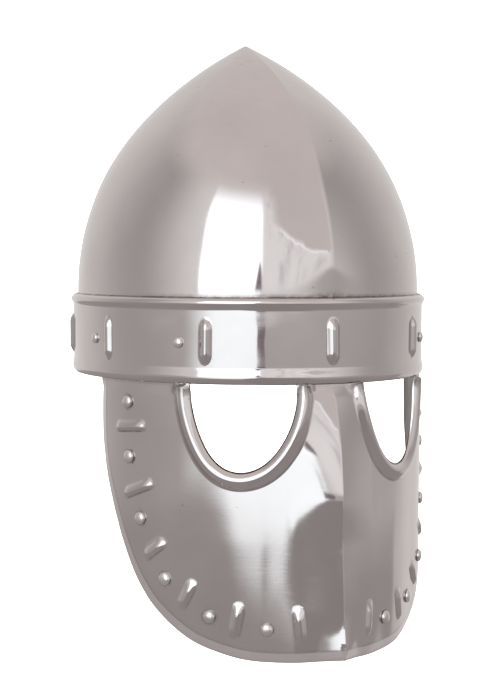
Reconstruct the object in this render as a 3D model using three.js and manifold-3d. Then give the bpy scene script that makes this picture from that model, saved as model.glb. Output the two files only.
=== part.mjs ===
// Knight helmet: a pointed steel skull with a riveted brow band and a face plate,
// with a laced leather liner and a two-part chin strap stowed inside it.
// Millimetres, +Z up. The face looks along -Y and +X is the wearer's left.
// The origin is the centre of the head opening, level with the brow band's lower edge.
import * as THREE from "three";
import { mergeVertices } from "three/addons/utils/BufferGeometryUtils.js";
import Module from "manifold-3d";

const wasm = await Module();
wasm.setup();

// ---------------------------------------------------------------- main sizes

const LENGTH_RATIO = 1.16; // every level is an ellipse this much longer than wide
const AROUND = 60; // facets round the helmet
const SHEET = 1.2; // thickness of the steel sheet
const GAP = 0.3; // clearance between pieces that touch
const TAU = 2 * Math.PI;

const SKULL_HALF_WIDTH = 101.3; // outer half width of the skull's upright wall
const SKULL_FOOT = 3; // height of the skull's lower edge
const SKULL_WALL_TOP = 30; // height where the upright wall starts to lean in
const SKULL_APEX = 199; // height of the point

const PLATE_HALF_WIDTH = SKULL_HALF_WIDTH + GAP + SHEET; // outer, behind the band
const PLATE_TOP = 30; // upper edge, hidden behind the band
const BAND_HALF_WIDTH = PLATE_HALF_WIDTH + GAP + SHEET; // outer wall of the band
const BAND_INNER = PLATE_HALF_WIDTH + GAP;

const LINER_OUTER = 98.7; // outer half width of the leather headband
const LINER_INNER = 96.7;
const LINER_FOOT = 4;
const LINER_TOP = 40;

const BAND_RIDGES = 10; // upright ribs pressed into the band, one at the front
const BAND_RIDGE_Z = 22.5;
const BAND_RIDGE_HALF_LENGTH = 13.5;
const BAND_RIVET_Z = 22.5;
const BAND_RIVET_ANGLES = [46.5, 80.5, 115.5, 151]; // degrees from the front, each side

const STRAP_MIDDLE = 93.8; // half width of the chin strap's middle layer as stowed
const STRAP_THICKNESS = 2.2;
const STRAP_HALF_HEIGHT = 10;
const STRAP_PIVOT_ANGLE = 86.9; // degrees from the front
const STRAP_PIVOT_Z = 13;
const LONG_STRAP = 203; // from its rivet to its tip
const SHORT_STRAP = 96; // from its rivet to the buckle's bar

const STEEL = 0xa59d9b;
const WORN_STEEL = 0x8c8482;
const LEATHER = 0x6b4528;
const DARK_LEATHER = 0x4a2e1a;
const BRASS = 0xa98a4a;

// ---------------------------------------------------------------- helpers

const radians = (degrees) => (degrees * Math.PI) / 180;

// Point on the ellipse of half width `rho`, at `angle` degrees from the front.
function around(rho, angle, z) {
  const turn = radians(angle);
  return new THREE.Vector3(rho * Math.sin(turn), -LENGTH_RATIO * rho * Math.cos(turn), z);
}

// Unit vector pointing squarely out of that ellipse.
function outward(angle) {
  const turn = radians(angle);
  return new THREE.Vector3(Math.sin(turn), -Math.cos(turn) / LENGTH_RATIO, 0).normalize();
}

// Distance squarely through the wall between two half widths.
function depthBetween(outer, inner, angle) {
  const turn = radians(angle);
  return (outer - inner) / Math.hypot(Math.sin(turn), Math.cos(turn) / LENGTH_RATIO);
}

// Angle reached after walking `distance` along the ellipse from `start` degrees.
function angleAfter(rho, start, distance) {
  const step = Math.sign(distance) * 0.25;
  let angle = start;
  let walked = 0;
  while (walked < Math.abs(distance)) {
    walked += around(rho, angle, 0).distanceTo(around(rho, angle + step, 0));
    angle += step;
  }
  return angle;
}

// Smooth curve through (input, output) pairs, read at one input.
function readCurve(pairs, input) {
  if (input <= pairs[0][0]) return pairs[0][1];
  const last = pairs.length - 1;
  if (input >= pairs[last][0]) return pairs[last][1];
  let i = 0;
  while (input > pairs[i + 1][0]) i += 1;
  const [x0, y0] = pairs[i];
  const [x1, y1] = pairs[i + 1];
  const slope = (y1 - y0) / (x1 - x0);
  const before = i > 0 ? (y0 - pairs[i - 1][1]) / (x0 - pairs[i - 1][0]) : slope;
  const after = i + 1 < last ? (pairs[i + 2][1] - y1) / (pairs[i + 2][0] - x1) : slope;
  const meet = (a, b) => (a * b <= 0 ? 0 : (2 * a * b) / (a + b));
  const t = (input - x0) / (x1 - x0);
  const bend = (x1 - x0) * t * (1 - t);
  const start = meet(before, slope);
  const end = meet(slope, after);
  const base = y0 + (y1 - y0) * t * t * (3 - 2 * t);
  return base + bend * ((1 - t) * start - t * end);
}

// Vertices merged and faces turned outwards, which is what a solid needs.
function closed(geometry) {
  const bare = geometry.clone();
  bare.deleteAttribute("normal");
  bare.deleteAttribute("uv");
  const merged = mergeVertices(bare, 1e-4);
  const place = merged.attributes.position.array;
  const kept = [];
  let volume = 0;
  const index = merged.index.array;
  for (let i = 0; i < index.length; i += 3) {
    const [a, b, c] = [index[i], index[i + 1], index[i + 2]];
    if (a === b || b === c || c === a) continue;
    kept.push(a, b, c);
    const p = new THREE.Vector3().fromArray(place, 3 * a);
    const q = new THREE.Vector3().fromArray(place, 3 * b);
    const r = new THREE.Vector3().fromArray(place, 3 * c);
    volume += p.dot(q.cross(r));
  }
  if (volume < 0) kept.reverse();
  merged.setIndex(kept);
  return merged;
}

function solid(geometry) {
  const merged = closed(geometry);
  return new wasm.Manifold(
    new wasm.Mesh({
      numProp: 3,
      vertProperties: new Float32Array(merged.attributes.position.array),
      triVerts: new Uint32Array(merged.index.array),
    })
  );
}

function geometryOf(body) {
  const mesh = body.getMesh();
  const geometry = new THREE.BufferGeometry();
  geometry.setAttribute("position", new THREE.BufferAttribute(mesh.vertProperties, 3));
  geometry.setIndex(new THREE.BufferAttribute(mesh.triVerts, 1));
  geometry.computeVertexNormals();
  return geometry;
}

// A profile of (half width, height) pairs swept round the ellipse.
function sweptRound(profile, closes) {
  const points = profile.map(([rho, z]) => new THREE.Vector2(rho, z));
  if (closes) points.push(points[0].clone());
  const geometry = new THREE.LatheGeometry(points, AROUND);
  geometry.rotateX(Math.PI / 2);
  geometry.scale(1, LENGTH_RATIO, 1);
  return geometry;
}

// Bends a box of unit size: place(u, v, w) gets -0.5 to 0.5, 0 to 1 and 0 to 1.
function bentBox(acrossSteps, alongSteps, place) {
  const geometry = new THREE.BoxGeometry(1, 1, 1, acrossSteps, alongSteps, 1);
  const spot = geometry.attributes.position;
  for (let i = 0; i < spot.count; i += 1) {
    const point = place(spot.getX(i), spot.getY(i) + 0.5, spot.getZ(i) + 0.5);
    spot.setXYZ(i, point.x, point.y, point.z);
  }
  return geometry;
}

// Turns a shape built along +Z so that it points along `direction`, at `spot`.
function pointedAt(geometry, spot, direction) {
  const turn = new THREE.Quaternion().setFromUnitVectors(new THREE.Vector3(0, 0, 1), direction);
  geometry.applyQuaternion(turn);
  geometry.translate(spot.x, spot.y, spot.z);
  return geometry;
}

function rod(radius, from, to, sides) {
  const axis = to.clone().sub(from);
  const geometry = new THREE.CylinderGeometry(radius, radius, axis.length(), sides);
  geometry.rotateX(Math.PI / 2);
  const middle = from.clone().add(to).multiplyScalar(0.5);
  return pointedAt(geometry, middle, axis.normalize());
}

const helmet = new THREE.Group();

function addMesh(name, geometry, color, roughness, metalness) {
  const material = new THREE.MeshStandardMaterial({ color, roughness, metalness });
  const mesh = new THREE.Mesh(geometry, material);
  mesh.name = name;
  helmet.add(mesh);
}

const addSteel = (name, geometry) => addMesh(name, geometry, STEEL, 0.35, 1);
const addWornSteel = (name, geometry) => addMesh(name, geometry, WORN_STEEL, 0.4, 1);
const addLeather = (name, geometry) => addMesh(name, geometry, LEATHER, 0.8, 0);

// ---------------------------------------------------------------- skull

// Meridian of the skull from the point down to the top of the upright wall.
const SKULL_MERIDIAN = new THREE.CubicBezierCurve(
  new THREE.Vector2(0, SKULL_APEX),
  new THREE.Vector2(112.8, 138.7),
  new THREE.Vector2(SKULL_HALF_WIDTH, 53),
  new THREE.Vector2(SKULL_HALF_WIDTH, SKULL_WALL_TOP)
);
const SKULL_STEPS = [0, 0.05, 0.13, 0.22, 0.32, 0.43, 0.55, 0.68, 0.82, 1];

function skullProfile() {
  const outer = [];
  const inner = [];
  for (const step of SKULL_STEPS) {
    const spot = SKULL_MERIDIAN.getPoint(step);
    const along = SKULL_MERIDIAN.getTangent(step);
    outer.push([spot.x, spot.y]);
    inner.push([spot.x + SHEET * along.y, spot.y - SHEET * along.x]);
  }
  const apexDrop = SHEET / SKULL_MERIDIAN.getTangent(0).x;
  inner[0] = [0, SKULL_APEX - apexDrop];
  const foot = [
    [SKULL_HALF_WIDTH, SKULL_FOOT],
    [SKULL_HALF_WIDTH - SHEET, SKULL_FOOT],
  ];
  return [...outer, ...foot, ...inner.reverse()];
}

// Half width of the skull's outside at a height above its upright wall.
function skullHalfWidthAt(z) {
  let low = 0;
  let high = 1;
  for (let i = 0; i < 30; i += 1) {
    const middle = (low + high) / 2;
    if (SKULL_MERIDIAN.getPoint(middle).y > z) low = middle;
    else high = middle;
  }
  return SKULL_MERIDIAN.getPoint(low).x;
}

// ---------------------------------------------------------------- rivets

const FACE_RIVET_HEAD = 3.8;
const BAND_RIVET_HEAD = 3;
const SHANK = 1.8;
const SHANK_HOLE = SHANK + GAP + 0.1;
const HOLE_REACH = 12; // half the length of the cutter for a rivet's hole
const RIVET_SIDES = 8;
const RIVET_TAIL = 1; // thickness of the hammered-over end
const RIVET_SEAT = 0.35; // a flat-bottomed head stands this far off the curved wall

// Domed head outside, shank through the sheets, flat tail inside; the head's
// underside is at zero and `grip` is the stack of sheets that it clamps.
function rivetGeometry(head, grip, tail) {
  const domeHeight = head * 0.66;
  const tailRadius = SHANK + 1.3;
  const profile = [
    [0, domeHeight],
    [head * 0.62, domeHeight * 0.76],
    [head, 0],
    [SHANK, 0],
    [SHANK, -grip],
    [tailRadius, -grip],
    [tailRadius - 0.4, -grip - tail],
    [0, -grip - tail],
  ];
  const points = profile.map(([r, z]) => new THREE.Vector2(r, z));
  const geometry = new THREE.LatheGeometry(points, RIVET_SIDES);
  geometry.rotateX(Math.PI / 2);
  return geometry;
}

function rivetHole(spot, direction) {
  const from = spot.clone().addScaledVector(direction, -HOLE_REACH);
  const to = spot.clone().addScaledVector(direction, HOLE_REACH);
  return solid(rod(SHANK_HOLE, from, to, RIVET_SIDES));
}

function bandRivetPlaces() {
  const places = [];
  for (const side of [-1, 1]) {
    BAND_RIVET_ANGLES.forEach((angle, i) => {
      const spot = around(BAND_HALF_WIDTH, side * angle, BAND_RIVET_Z);
      const direction = outward(side * angle);
      const grip = depthBetween(BAND_HALF_WIDTH, LINER_INNER, angle) + RIVET_SEAT + GAP;
      const name = `band_rivet_${side < 0 ? "right" : "left"}_${i + 1}`;
      places.push({ name, spot, direction, grip });
    });
  }
  return places;
}

// ---------------------------------------------------------------- face plate

const KEEL_BY_HEIGHT = [[-160, 17.6], [-148, 17], [-68, 12], [-8, 4], [-0.8, 0]];
const KEEL_BY_ANGLE = [[0, 1], [12, 0.41], [21, 0.12], [30, 0], [41, -0.15], [52, -0.06], [66, 0]];
const FLARE_BY_HEIGHT = [[-20, 1], [-6, 0.7], [-0.8, 0]];
const PLATE_BOTTOM = -160; // lowest level of the form, below the plate's edge
const PLATE_ROWS = [
  PLATE_BOTTOM, -140, -115, -90, -68, -45, -25, -12, -6, -0.8, PLATE_TOP,
];

// Outer surface of the face plate; `inset` moves it inwards.
function platePoint(angle, z, inset) {
  const rho = PLATE_HALF_WIDTH + readCurve(FLARE_BY_HEIGHT, z) - inset;
  const point = around(rho, angle, z);
  point.y -= readCurve(KEEL_BY_HEIGHT, z) * readCurve(KEEL_BY_ANGLE, Math.abs(angle));
  return point;
}

function plateNormal(angle, z) {
  const across = platePoint(angle + 0.5, z, 0).sub(platePoint(angle - 0.5, z, 0));
  const up = platePoint(angle, z + 0.5, 0).sub(platePoint(angle, z - 0.5, 0));
  return across.cross(up).normalize();
}

// Solid filling of the plate's form, from which the sheet is cut.
function plateCore(inset) {
  const rings = PLATE_ROWS.map((z) => new THREE.Vector2(1, z));
  const points = [new THREE.Vector2(0, PLATE_BOTTOM), ...rings, new THREE.Vector2(0, PLATE_TOP)];
  const geometry = new THREE.LatheGeometry(points, AROUND);
  geometry.rotateX(Math.PI / 2);
  const spot = geometry.attributes.position;
  for (let i = 0; i < spot.count; i += 1) {
    if (Math.hypot(spot.getX(i), spot.getY(i)) < 0.5) continue;
    const angle = (Math.atan2(spot.getX(i), -spot.getY(i)) * 180) / Math.PI;
    const point = platePoint(angle, spot.getZ(i), inset);
    spot.setXYZ(i, point.x, point.y, point.z);
  }
  return solid(geometry);
}

// Edge of the plate from behind the band down to the chin: angle and height.
const PLATE_EDGE = [
  [78.2, -4],
  [78, -31],
  [77, -45.5],
  [75.9, -54.6],
  [74.3, -63.5],
  [71.5, -77],
  [67.6, -94],
  [62.4, -111],
  [55, -126.8],
  [43.2, -142],
  [32.5, -148.8],
  [23, -151.5],
  [11.5, -151],
  [0, -148.5],
];

// The plate's outline seen from the side, extruded right across the helmet.
function plateOutline() {
  const front = -200; // well in front of the plate
  const top = PLATE_TOP + 5;
  const across = 260;
  const first = platePoint(PLATE_EDGE[0][0], 0, 0);
  const chin = PLATE_EDGE[PLATE_EDGE.length - 1][1];
  const shape = new THREE.Shape();
  shape.moveTo(front, top);
  shape.lineTo(first.y, top);
  for (const [angle, z] of PLATE_EDGE) {
    shape.lineTo(platePoint(angle, z, 0).y, z);
  }
  shape.lineTo(front, chin);
  const geometry = new THREE.ExtrudeGeometry(shape, { depth: across, bevelEnabled: false });
  geometry.translate(0, 0, -across / 2);
  const turn = new THREE.Matrix4().makeBasis(
    new THREE.Vector3(0, 1, 0),
    new THREE.Vector3(0, 0, 1),
    new THREE.Vector3(1, 0, 0)
  );
  geometry.applyMatrix4(turn);
  return solid(geometry);
}

const EYE_ANGLE = 28.2; // degrees from the front to the middle of an eye opening
const EYE_HALF_WIDTH = 30;
const EYE_DEPTH = 47.5;
const EYE_TURN = 32.6; // way the opening is cut through the sheet
const EYE_TOP = -0.6; // the opening's straight top edge, just under the band
const EYE_LEVEL = -20; // level at which the opening's middle lies on the plate
const RIM_RADIUS = 4; // raised rim round the opening
const HEM_RADIUS = 2.1; // plate's edge, rolled over a wire
const HEM_INSET = 0.8; // degrees and millimetres from the edge to the roll's middle
const BELOW_BAND = -0.4; // beads stop here, just under the brow band

// Point on the edge of the eye opening: `turn` runs 0 to 180 from outer to inner.
function eyeEdge(side, turn, spread) {
  const across = Math.cos(radians(turn)) * (EYE_HALF_WIDTH + spread);
  const z = EYE_TOP - Math.sin(radians(turn)) * (EYE_DEPTH + EYE_TOP + spread);
  return { across: side * across, z };
}

function eyeCutter(side) {
  const shape = new THREE.Shape();
  shape.moveTo(side * EYE_HALF_WIDTH, SKULL_FOOT);
  for (let turn = 0; turn <= 180; turn += 15) {
    const { across, z } = eyeEdge(side, turn, 0);
    shape.lineTo(across, z);
  }
  shape.lineTo(-side * EYE_HALF_WIDTH, SKULL_FOOT);
  const [before, behind] = [40, 30]; // reach of the cutter on each side of the sheet
  const depth = before + behind;
  const geometry = new THREE.ExtrudeGeometry(shape, { depth, bevelEnabled: false });
  geometry.translate(0, 0, -behind);
  geometry.rotateX(Math.PI / 2);
  geometry.rotateZ(side * radians(EYE_TURN));
  const middle = platePoint(side * EYE_ANGLE, EYE_LEVEL, 0);
  geometry.translate(middle.x, middle.y, 0);
  return solid(geometry);
}

// Raised bead along a line of (angle, height) pairs on the plate.
function beadAlong(places, radius) {
  const sides = 6;
  const stepsPerPlace = 1.5;
  const points = places.map(([angle, z]) => platePoint(angle, z, SHEET / 2));
  const path = new THREE.CatmullRomCurve3(points, false, "centripetal");
  const section = new THREE.Shape();
  for (let i = 0; i < sides; i += 1) {
    const turn = (TAU * i) / sides;
    const [x, y] = [radius * Math.cos(turn), radius * Math.sin(turn)];
    if (i === 0) section.moveTo(x, y);
    else section.lineTo(x, y);
  }
  const steps = Math.round((places.length - 1) * stepsPerPlace);
  return solid(
    new THREE.ExtrudeGeometry(section, { steps, extrudePath: path, bevelEnabled: false })
  );
}

function eyeRim(side) {
  const middle = platePoint(EYE_ANGLE, EYE_LEVEL, 0);
  const places = [];
  for (let turn = 0; turn <= 180; turn += 22.5) {
    const { across, z } = eyeEdge(1, turn, RIM_RADIUS);
    const x = middle.x + across * Math.cos(radians(EYE_TURN));
    const angle = (Math.asin(x / (PLATE_HALF_WIDTH + 1)) * 180) / Math.PI;
    places.push([side * angle, z]);
  }
  return beadAlong(places, RIM_RADIUS);
}

// The edge of the sheet rolled over a wire.
function rolledEdge() {
  const half = PLATE_EDGE.map(([angle, z]) => [angle - HEM_INSET, z + HEM_INSET]);
  half[0][1] = -HEM_INSET;
  const other = half.slice(0, -1).map(([angle, z]) => [-angle, z]);
  return beadAlong([...half, ...other.reverse()], HEM_RADIUS);
}

// Short ribs pressed into the plate's border: outer end, then inner end.
const PLATE_RIDGES = [
  [69.7, -26.6, 57.5, -24.6],
  [66.2, -64.3, 54.8, -55.7],
  [58.2, -98.2, 50.6, -87.5],
  [45.6, -124.1, 41.3, -108.2],
  [29.9, -138, 28.2, -118.5],
  [11.3, -139, 12.3, -119.4],
];

const PLATE_RIVETS = [
  [65, -12.1],
  [64.4, -43],
  [60, -77.1],
  [51.1, -109.3],
  [36.8, -128],
  [20.5, -133.2],
];

const RIDGE_HALF_WIDTH = 3;
const RIDGE_HEIGHT = 2.6; // above the middle of the sheet

function plateRidge(side, ridge) {
  const [outerAngle, outerZ, innerAngle, innerZ] = ridge;
  const from = platePoint(side * outerAngle, outerZ, SHEET / 2);
  const to = platePoint(side * innerAngle, innerZ, SHEET / 2);
  const along = to.clone().sub(from);
  const middleAngle = (side * (outerAngle + innerAngle)) / 2;
  const middleZ = (outerZ + innerZ) / 2;
  const out = plateNormal(middleAngle, middleZ);
  const middle = platePoint(middleAngle, middleZ, SHEET / 2);
  const geometry = new THREE.SphereGeometry(1, 6, 5);
  geometry.scale(along.length() / 2, RIDGE_HALF_WIDTH, RIDGE_HEIGHT);
  const across = out.clone().cross(along).normalize();
  const lengthwise = across.clone().cross(out).normalize();
  const turn = new THREE.Matrix4().makeBasis(lengthwise, across, out);
  geometry.applyMatrix4(turn);
  geometry.translate(middle.x, middle.y, middle.z);
  return solid(geometry);
}

function facePlateRivets() {
  const places = [];
  for (const side of [-1, 1]) {
    PLATE_RIVETS.forEach(([angle, z], i) => {
      const spot = platePoint(side * angle, z, -RIVET_SEAT);
      const direction = plateNormal(side * angle, z);
      places.push({ name: `face_rivet_${side < 0 ? "right" : "left"}_${i + 1}`, spot, direction });
    });
  }
  return places;
}

// The part of a bead that lies below the brow band.
function belowBand(bead) {
  const size = 400;
  const room = new THREE.BoxGeometry(size, size, size);
  room.translate(0, 0, BELOW_BAND - size / 2);
  return bead.intersect(solid(room));
}

function facePlate() {
  let plate = plateCore(0).intersect(plateOutline());
  plate = plate.add(belowBand(rolledEdge()));
  for (const side of [-1, 1]) {
    plate = plate.add(belowBand(eyeRim(side)));
    for (const ridge of PLATE_RIDGES) plate = plate.add(plateRidge(side, ridge));
  }
  plate = plate.subtract(plateCore(SHEET));
  for (const side of [-1, 1]) plate = plate.subtract(eyeCutter(side));
  for (const { spot, direction } of facePlateRivets()) {
    plate = plate.subtract(rivetHole(spot, direction));
  }
  for (const { spot, direction } of bandRivetPlaces()) {
    plate = plate.subtract(rivetHole(spot, direction));
  }
  return plate;
}

// ---------------------------------------------------------------- brow band

const BAND_WALL_TOP = 38.5; // the bead along the upper edge starts here
const BEAD_Z = 43.4; // middle of that bead
const BEAD_PROUD = 1.9;
const BAND_TOP = 47.4; // the lip that closes on the skull

// Straight wall with a slight swell at its foot and a bead and lip at its top.
function bandProfile() {
  const wall = BAND_HALF_WIDTH;
  const lip = skullHalfWidthAt(BAND_TOP) + GAP;
  const outside = [
    [BAND_INNER, 0],
    [wall - 0.6, 0.3],
    [wall + 0.2, 4],
    [wall, 8],
    [wall, BAND_WALL_TOP],
    [wall + BEAD_PROUD, BEAD_Z],
    [wall + BEAD_PROUD - 0.5, BEAD_Z + 1.4],
    [lip + 0.2, BAND_TOP + 0.5],
  ];
  const inside = [
    [lip, BAND_TOP - 0.8],
    [wall + 0.1, BEAD_Z],
    [BAND_INNER, BAND_WALL_TOP + 0.5],
  ];
  return [...outside, ...inside];
}

// Angle of the n-th pressed rib when the ribs are evenly spaced by arc length.
function bandRidgeAngle(n) {
  const samples = 720;
  const lengths = [0];
  for (let i = 1; i <= samples; i += 1) {
    const before = around(BAND_HALF_WIDTH, (360 * (i - 1)) / samples, 0);
    const here = around(BAND_HALF_WIDTH, (360 * i) / samples, 0);
    lengths.push(lengths[i - 1] + before.distanceTo(here));
  }
  const wanted = (lengths[samples] * n) / BAND_RIDGES;
  return (360 * lengths.findIndex((length) => length >= wanted - 1e-6)) / samples;
}

function bandRidge(n) {
  const angle = bandRidgeAngle(n);
  const spot = around(BAND_HALF_WIDTH - SHEET / 2, angle, BAND_RIDGE_Z);
  const geometry = new THREE.SphereGeometry(1, 6, 6);
  geometry.scale(RIDGE_HEIGHT, RIDGE_HALF_WIDTH, BAND_RIDGE_HALF_LENGTH);
  const turn = new THREE.Quaternion().setFromUnitVectors(
    new THREE.Vector3(1, 0, 0),
    outward(angle)
  );
  geometry.applyQuaternion(turn);
  geometry.translate(spot.x, spot.y, spot.z);
  return solid(geometry);
}

function browBand() {
  let band = solid(sweptRound(bandProfile(), true));
  for (let n = 0; n < BAND_RIDGES; n += 1) band = band.add(bandRidge(n));
  const roomTop = BAND_WALL_TOP + 0.5;
  const room = [
    [0, -1],
    [BAND_INNER, -1],
    [BAND_INNER, roomTop],
    [0, roomTop],
  ];
  band = band.subtract(solid(sweptRound(room, false)));
  for (const { spot, direction } of bandRivetPlaces()) {
    band = band.subtract(rivetHole(spot, direction));
  }
  return band;
}

// ---------------------------------------------------------------- liner

const LEAF_COUNT = 8;
const LEAF_LINE = [
  [96.3, 27],
  [96.1, 44],
  [91.5, 66],
  [82, 86],
  [65, 103],
  [44, 113],
  [25, 117],
];
const LEAF_THICKNESS = 1.8;
const LEAF_HALF_ANGLE = 20.5;
const LEAF_NARROWING = 0.42; // share of its angle that a leaf loses towards its tip
const LACE_RING = 17; // half width of the ring that the lace draws the tips into
const LACE_RADIUS = 1.6;
const LACE_HEIGHT = 110;
const KNOT_RADIUS = 4;

function headband() {
  const profile = [
    [LINER_OUTER, LINER_FOOT],
    [LINER_OUTER, LINER_TOP],
    [LINER_INNER, LINER_TOP],
    [LINER_INNER, LINER_FOOT],
  ];
  let band = solid(sweptRound(profile, true));
  for (const { spot, direction } of bandRivetPlaces()) {
    band = band.subtract(rivetHole(spot, direction));
  }
  for (const side of [-1, 1]) band = band.subtract(strapPivotHole(side));
  return band;
}

// One leather leaf: wide at the headband, narrow at the crown lace.
function leaf(n) {
  const middle = (360 * (n + 0.5)) / LEAF_COUNT;
  const line = new THREE.CatmullRomCurve3(
    LEAF_LINE.map(([rho, z]) => new THREE.Vector3(rho, 0, z)),
    false,
    "centripetal"
  );
  const place = (across, along, inward) => {
    const spot = line.getPoint(along);
    const way = line.getTangent(along);
    const rho = spot.x - LEAF_THICKNESS * (1 - inward) * way.z;
    const z = spot.z + LEAF_THICKNESS * (1 - inward) * way.x;
    const narrowing = 1 - LEAF_NARROWING * Math.pow(along, 3);
    const angle = middle + 2 * across * LEAF_HALF_ANGLE * narrowing;
    return around(rho, angle, z);
  };
  return bentBox(4, 7, place);
}

// Leather lace drawn through the leaves' tips, tied in a knot.
function crownLace() {
  const ring = new THREE.TorusGeometry(LACE_RING, LACE_RADIUS, 5, 16);
  ring.scale(1, LENGTH_RATIO, 1);
  ring.translate(0, 0, LACE_HEIGHT);
  const knot = new THREE.SphereGeometry(KNOT_RADIUS, 6, 5);
  knot.translate(LACE_RING - 3, 0, LACE_HEIGHT - 1.5);
  return solid(ring).add(solid(knot));
}

// ---------------------------------------------------------------- chin strap

const WASHER_THICKNESS = 0.9;
const WASHER_RADIUS = 5;

function strapPivot(side, rho) {
  return around(rho, side * STRAP_PIVOT_ANGLE, STRAP_PIVOT_Z);
}

function strapPivotHole(side) {
  return rivetHole(strapPivot(side, STRAP_MIDDLE), new THREE.Vector3(1, 0, 0));
}

// Leather strip that runs back from its rivet round the inside of the liner.
// `stations` are distances from the rivet, each with half the strip's height.
function strapStrip(side, stations) {
  const place = (across, along, outwards) => {
    const [distance, halfHeight] = stations[Math.round(along * (stations.length - 1))];
    const angle = side * angleAfter(STRAP_MIDDLE, STRAP_PIVOT_ANGLE, distance);
    const spot = around(STRAP_MIDDLE, angle, STRAP_PIVOT_Z + 2 * across * halfHeight);
    return spot.addScaledVector(outward(angle), (outwards - 0.5) * STRAP_THICKNESS);
  };
  return bentBox(1, stations.length - 1, place);
}

// Rounded end about the rivet, then even steps up to `end`.
function stripStations(end, count) {
  const stations = [9.6, 7, 3].map((back) => {
    return [-back, Math.sqrt(STRAP_HALF_HEIGHT ** 2 - back ** 2)];
  });
  for (let i = 0; i <= count; i += 1) stations.push([(end * i) / count, STRAP_HALF_HEIGHT]);
  return stations;
}

const HOLE_COUNT = 5;
const HOLE_STEP = 14;
const LAST_HOLE = 28; // from the tip
const HOLE_RADIUS = 1.8;
const TIP_LENGTH = 14; // tapered end

function longStrap() {
  const stations = stripStations(LONG_STRAP - TIP_LENGTH, 15);
  stations.push([LONG_STRAP - TIP_LENGTH / 2, 0.8 * STRAP_HALF_HEIGHT]);
  stations.push([LONG_STRAP, 0.3 * STRAP_HALF_HEIGHT]);
  let strap = solid(strapStrip(1, stations)).subtract(strapPivotHole(1));
  for (let i = 0; i < HOLE_COUNT; i += 1) {
    const distance = LONG_STRAP - LAST_HOLE - i * HOLE_STEP;
    const angle = angleAfter(STRAP_MIDDLE, STRAP_PIVOT_ANGLE, distance);
    const spot = around(STRAP_MIDDLE, angle, STRAP_PIVOT_Z);
    const reach = outward(angle).multiplyScalar(2 * STRAP_THICKNESS);
    const cutter = rod(HOLE_RADIUS, spot.clone().sub(reach), spot.clone().add(reach), 6);
    strap = strap.subtract(solid(cutter));
  }
  return strap;
}

const BAR_RADIUS = 1.4; // the buckle's bar, on which it tilts
const BAR_INSET = 0.6; // the bar lies this far inside the strap's middle layer
const LOOP_RADIUS = 3.4; // strap's end folded round the bar
const PRONG_SLOT = 3.4; // half height of the slot in that fold
const BUCKLE_LENGTH = 24;
const BUCKLE_HALF_HEIGHT = 12.6;
const BUCKLE_CORNER = 5.6; // length and height of the frame's slanted corners
const BUCKLE_WIRE = 1.5;
const PRONG_RADIUS = 1.1;
const PRONG_RING = 2.6;

function buckleFrame() {
  const angle = -angleAfter(STRAP_MIDDLE, STRAP_PIVOT_ANGLE, SHORT_STRAP);
  const reach = -angleAfter(STRAP_MIDDLE, STRAP_PIVOT_ANGLE, SHORT_STRAP + BUCKLE_LENGTH);
  const up = new THREE.Vector3(0, 0, 1);
  const spot = around(STRAP_MIDDLE, angle, STRAP_PIVOT_Z);
  const along = around(STRAP_MIDDLE, reach, STRAP_PIVOT_Z).sub(spot).normalize();
  const out = along.clone().cross(up).normalize();
  if (out.dot(outward(angle)) < 0) out.negate();
  spot.addScaledVector(out, -BAR_INSET);
  return { spot, out, along, up };
}

// Places things by the buckle's bar: x outwards, y on along the strap, z up.
function byBar(frame, x, y, z) {
  const point = frame.spot.clone();
  point.addScaledVector(frame.out, x);
  point.addScaledVector(frame.along, y);
  return point.addScaledVector(frame.up, z);
}

function shortStrap(frame) {
  const foldStart = SHORT_STRAP - 2.6;
  const stations = stripStations(foldStart, 8);
  let strap = solid(strapStrip(-1, stations)).subtract(strapPivotHole(-1));
  const lower = [-STRAP_HALF_HEIGHT, -PRONG_SLOT];
  const upper = [PRONG_SLOT, STRAP_HALF_HEIGHT];
  for (const [low, high] of [lower, upper]) {
    const loop = rod(LOOP_RADIUS, byBar(frame, 0, 0, low), byBar(frame, 0, 0, high), 10);
    strap = strap.add(solid(loop));
  }
  const bottom = byBar(frame, 0, 0, -STRAP_HALF_HEIGHT - 2);
  const top = byBar(frame, 0, 0, STRAP_HALF_HEIGHT + 2);
  const bore = rod(BAR_RADIUS + 0.5, bottom, top, 10);
  const slotLow = byBar(frame, 0, 0, -PRONG_SLOT);
  const slotHigh = byBar(frame, 0, 0, PRONG_SLOT);
  const slot = rod(LOOP_RADIUS + 0.6, slotLow, slotHigh, 10);
  return strap.subtract(solid(bore)).subtract(solid(slot));
}

// D-shaped wire frame whose straight side is the bar that the strap loops round.
function buckleWire(frame) {
  const high = BUCKLE_HALF_HEIGHT;
  const far = BUCKLE_LENGTH;
  const turn = far - BUCKLE_CORNER; // where the side bars end
  const lap = 0.5; // the bars run this far into each other
  const bars = [
    [BAR_RADIUS, [0, 0, -high], [0, 0, high]],
    [BUCKLE_WIRE, [0, 0, high - lap], [0, turn + lap, high - lap]],
    [BUCKLE_WIRE, [0, 0, lap - high], [0, turn + lap, lap - high]],
    [BUCKLE_WIRE, [0, turn, high - 0.2], [0, far, high - BUCKLE_CORNER - lap]],
    [BUCKLE_WIRE, [0, turn, 0.2 - high], [0, far, BUCKLE_CORNER + lap - high]],
    [BUCKLE_WIRE, [0, far, BUCKLE_CORNER - high], [0, far, high - BUCKLE_CORNER]],
  ];
  const solids = bars.map(([radius, from, to]) =>
    solid(rod(radius, byBar(frame, ...from), byBar(frame, ...to), 8))
  );
  return solids.reduce((whole, bar) => whole.add(bar));
}

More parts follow.
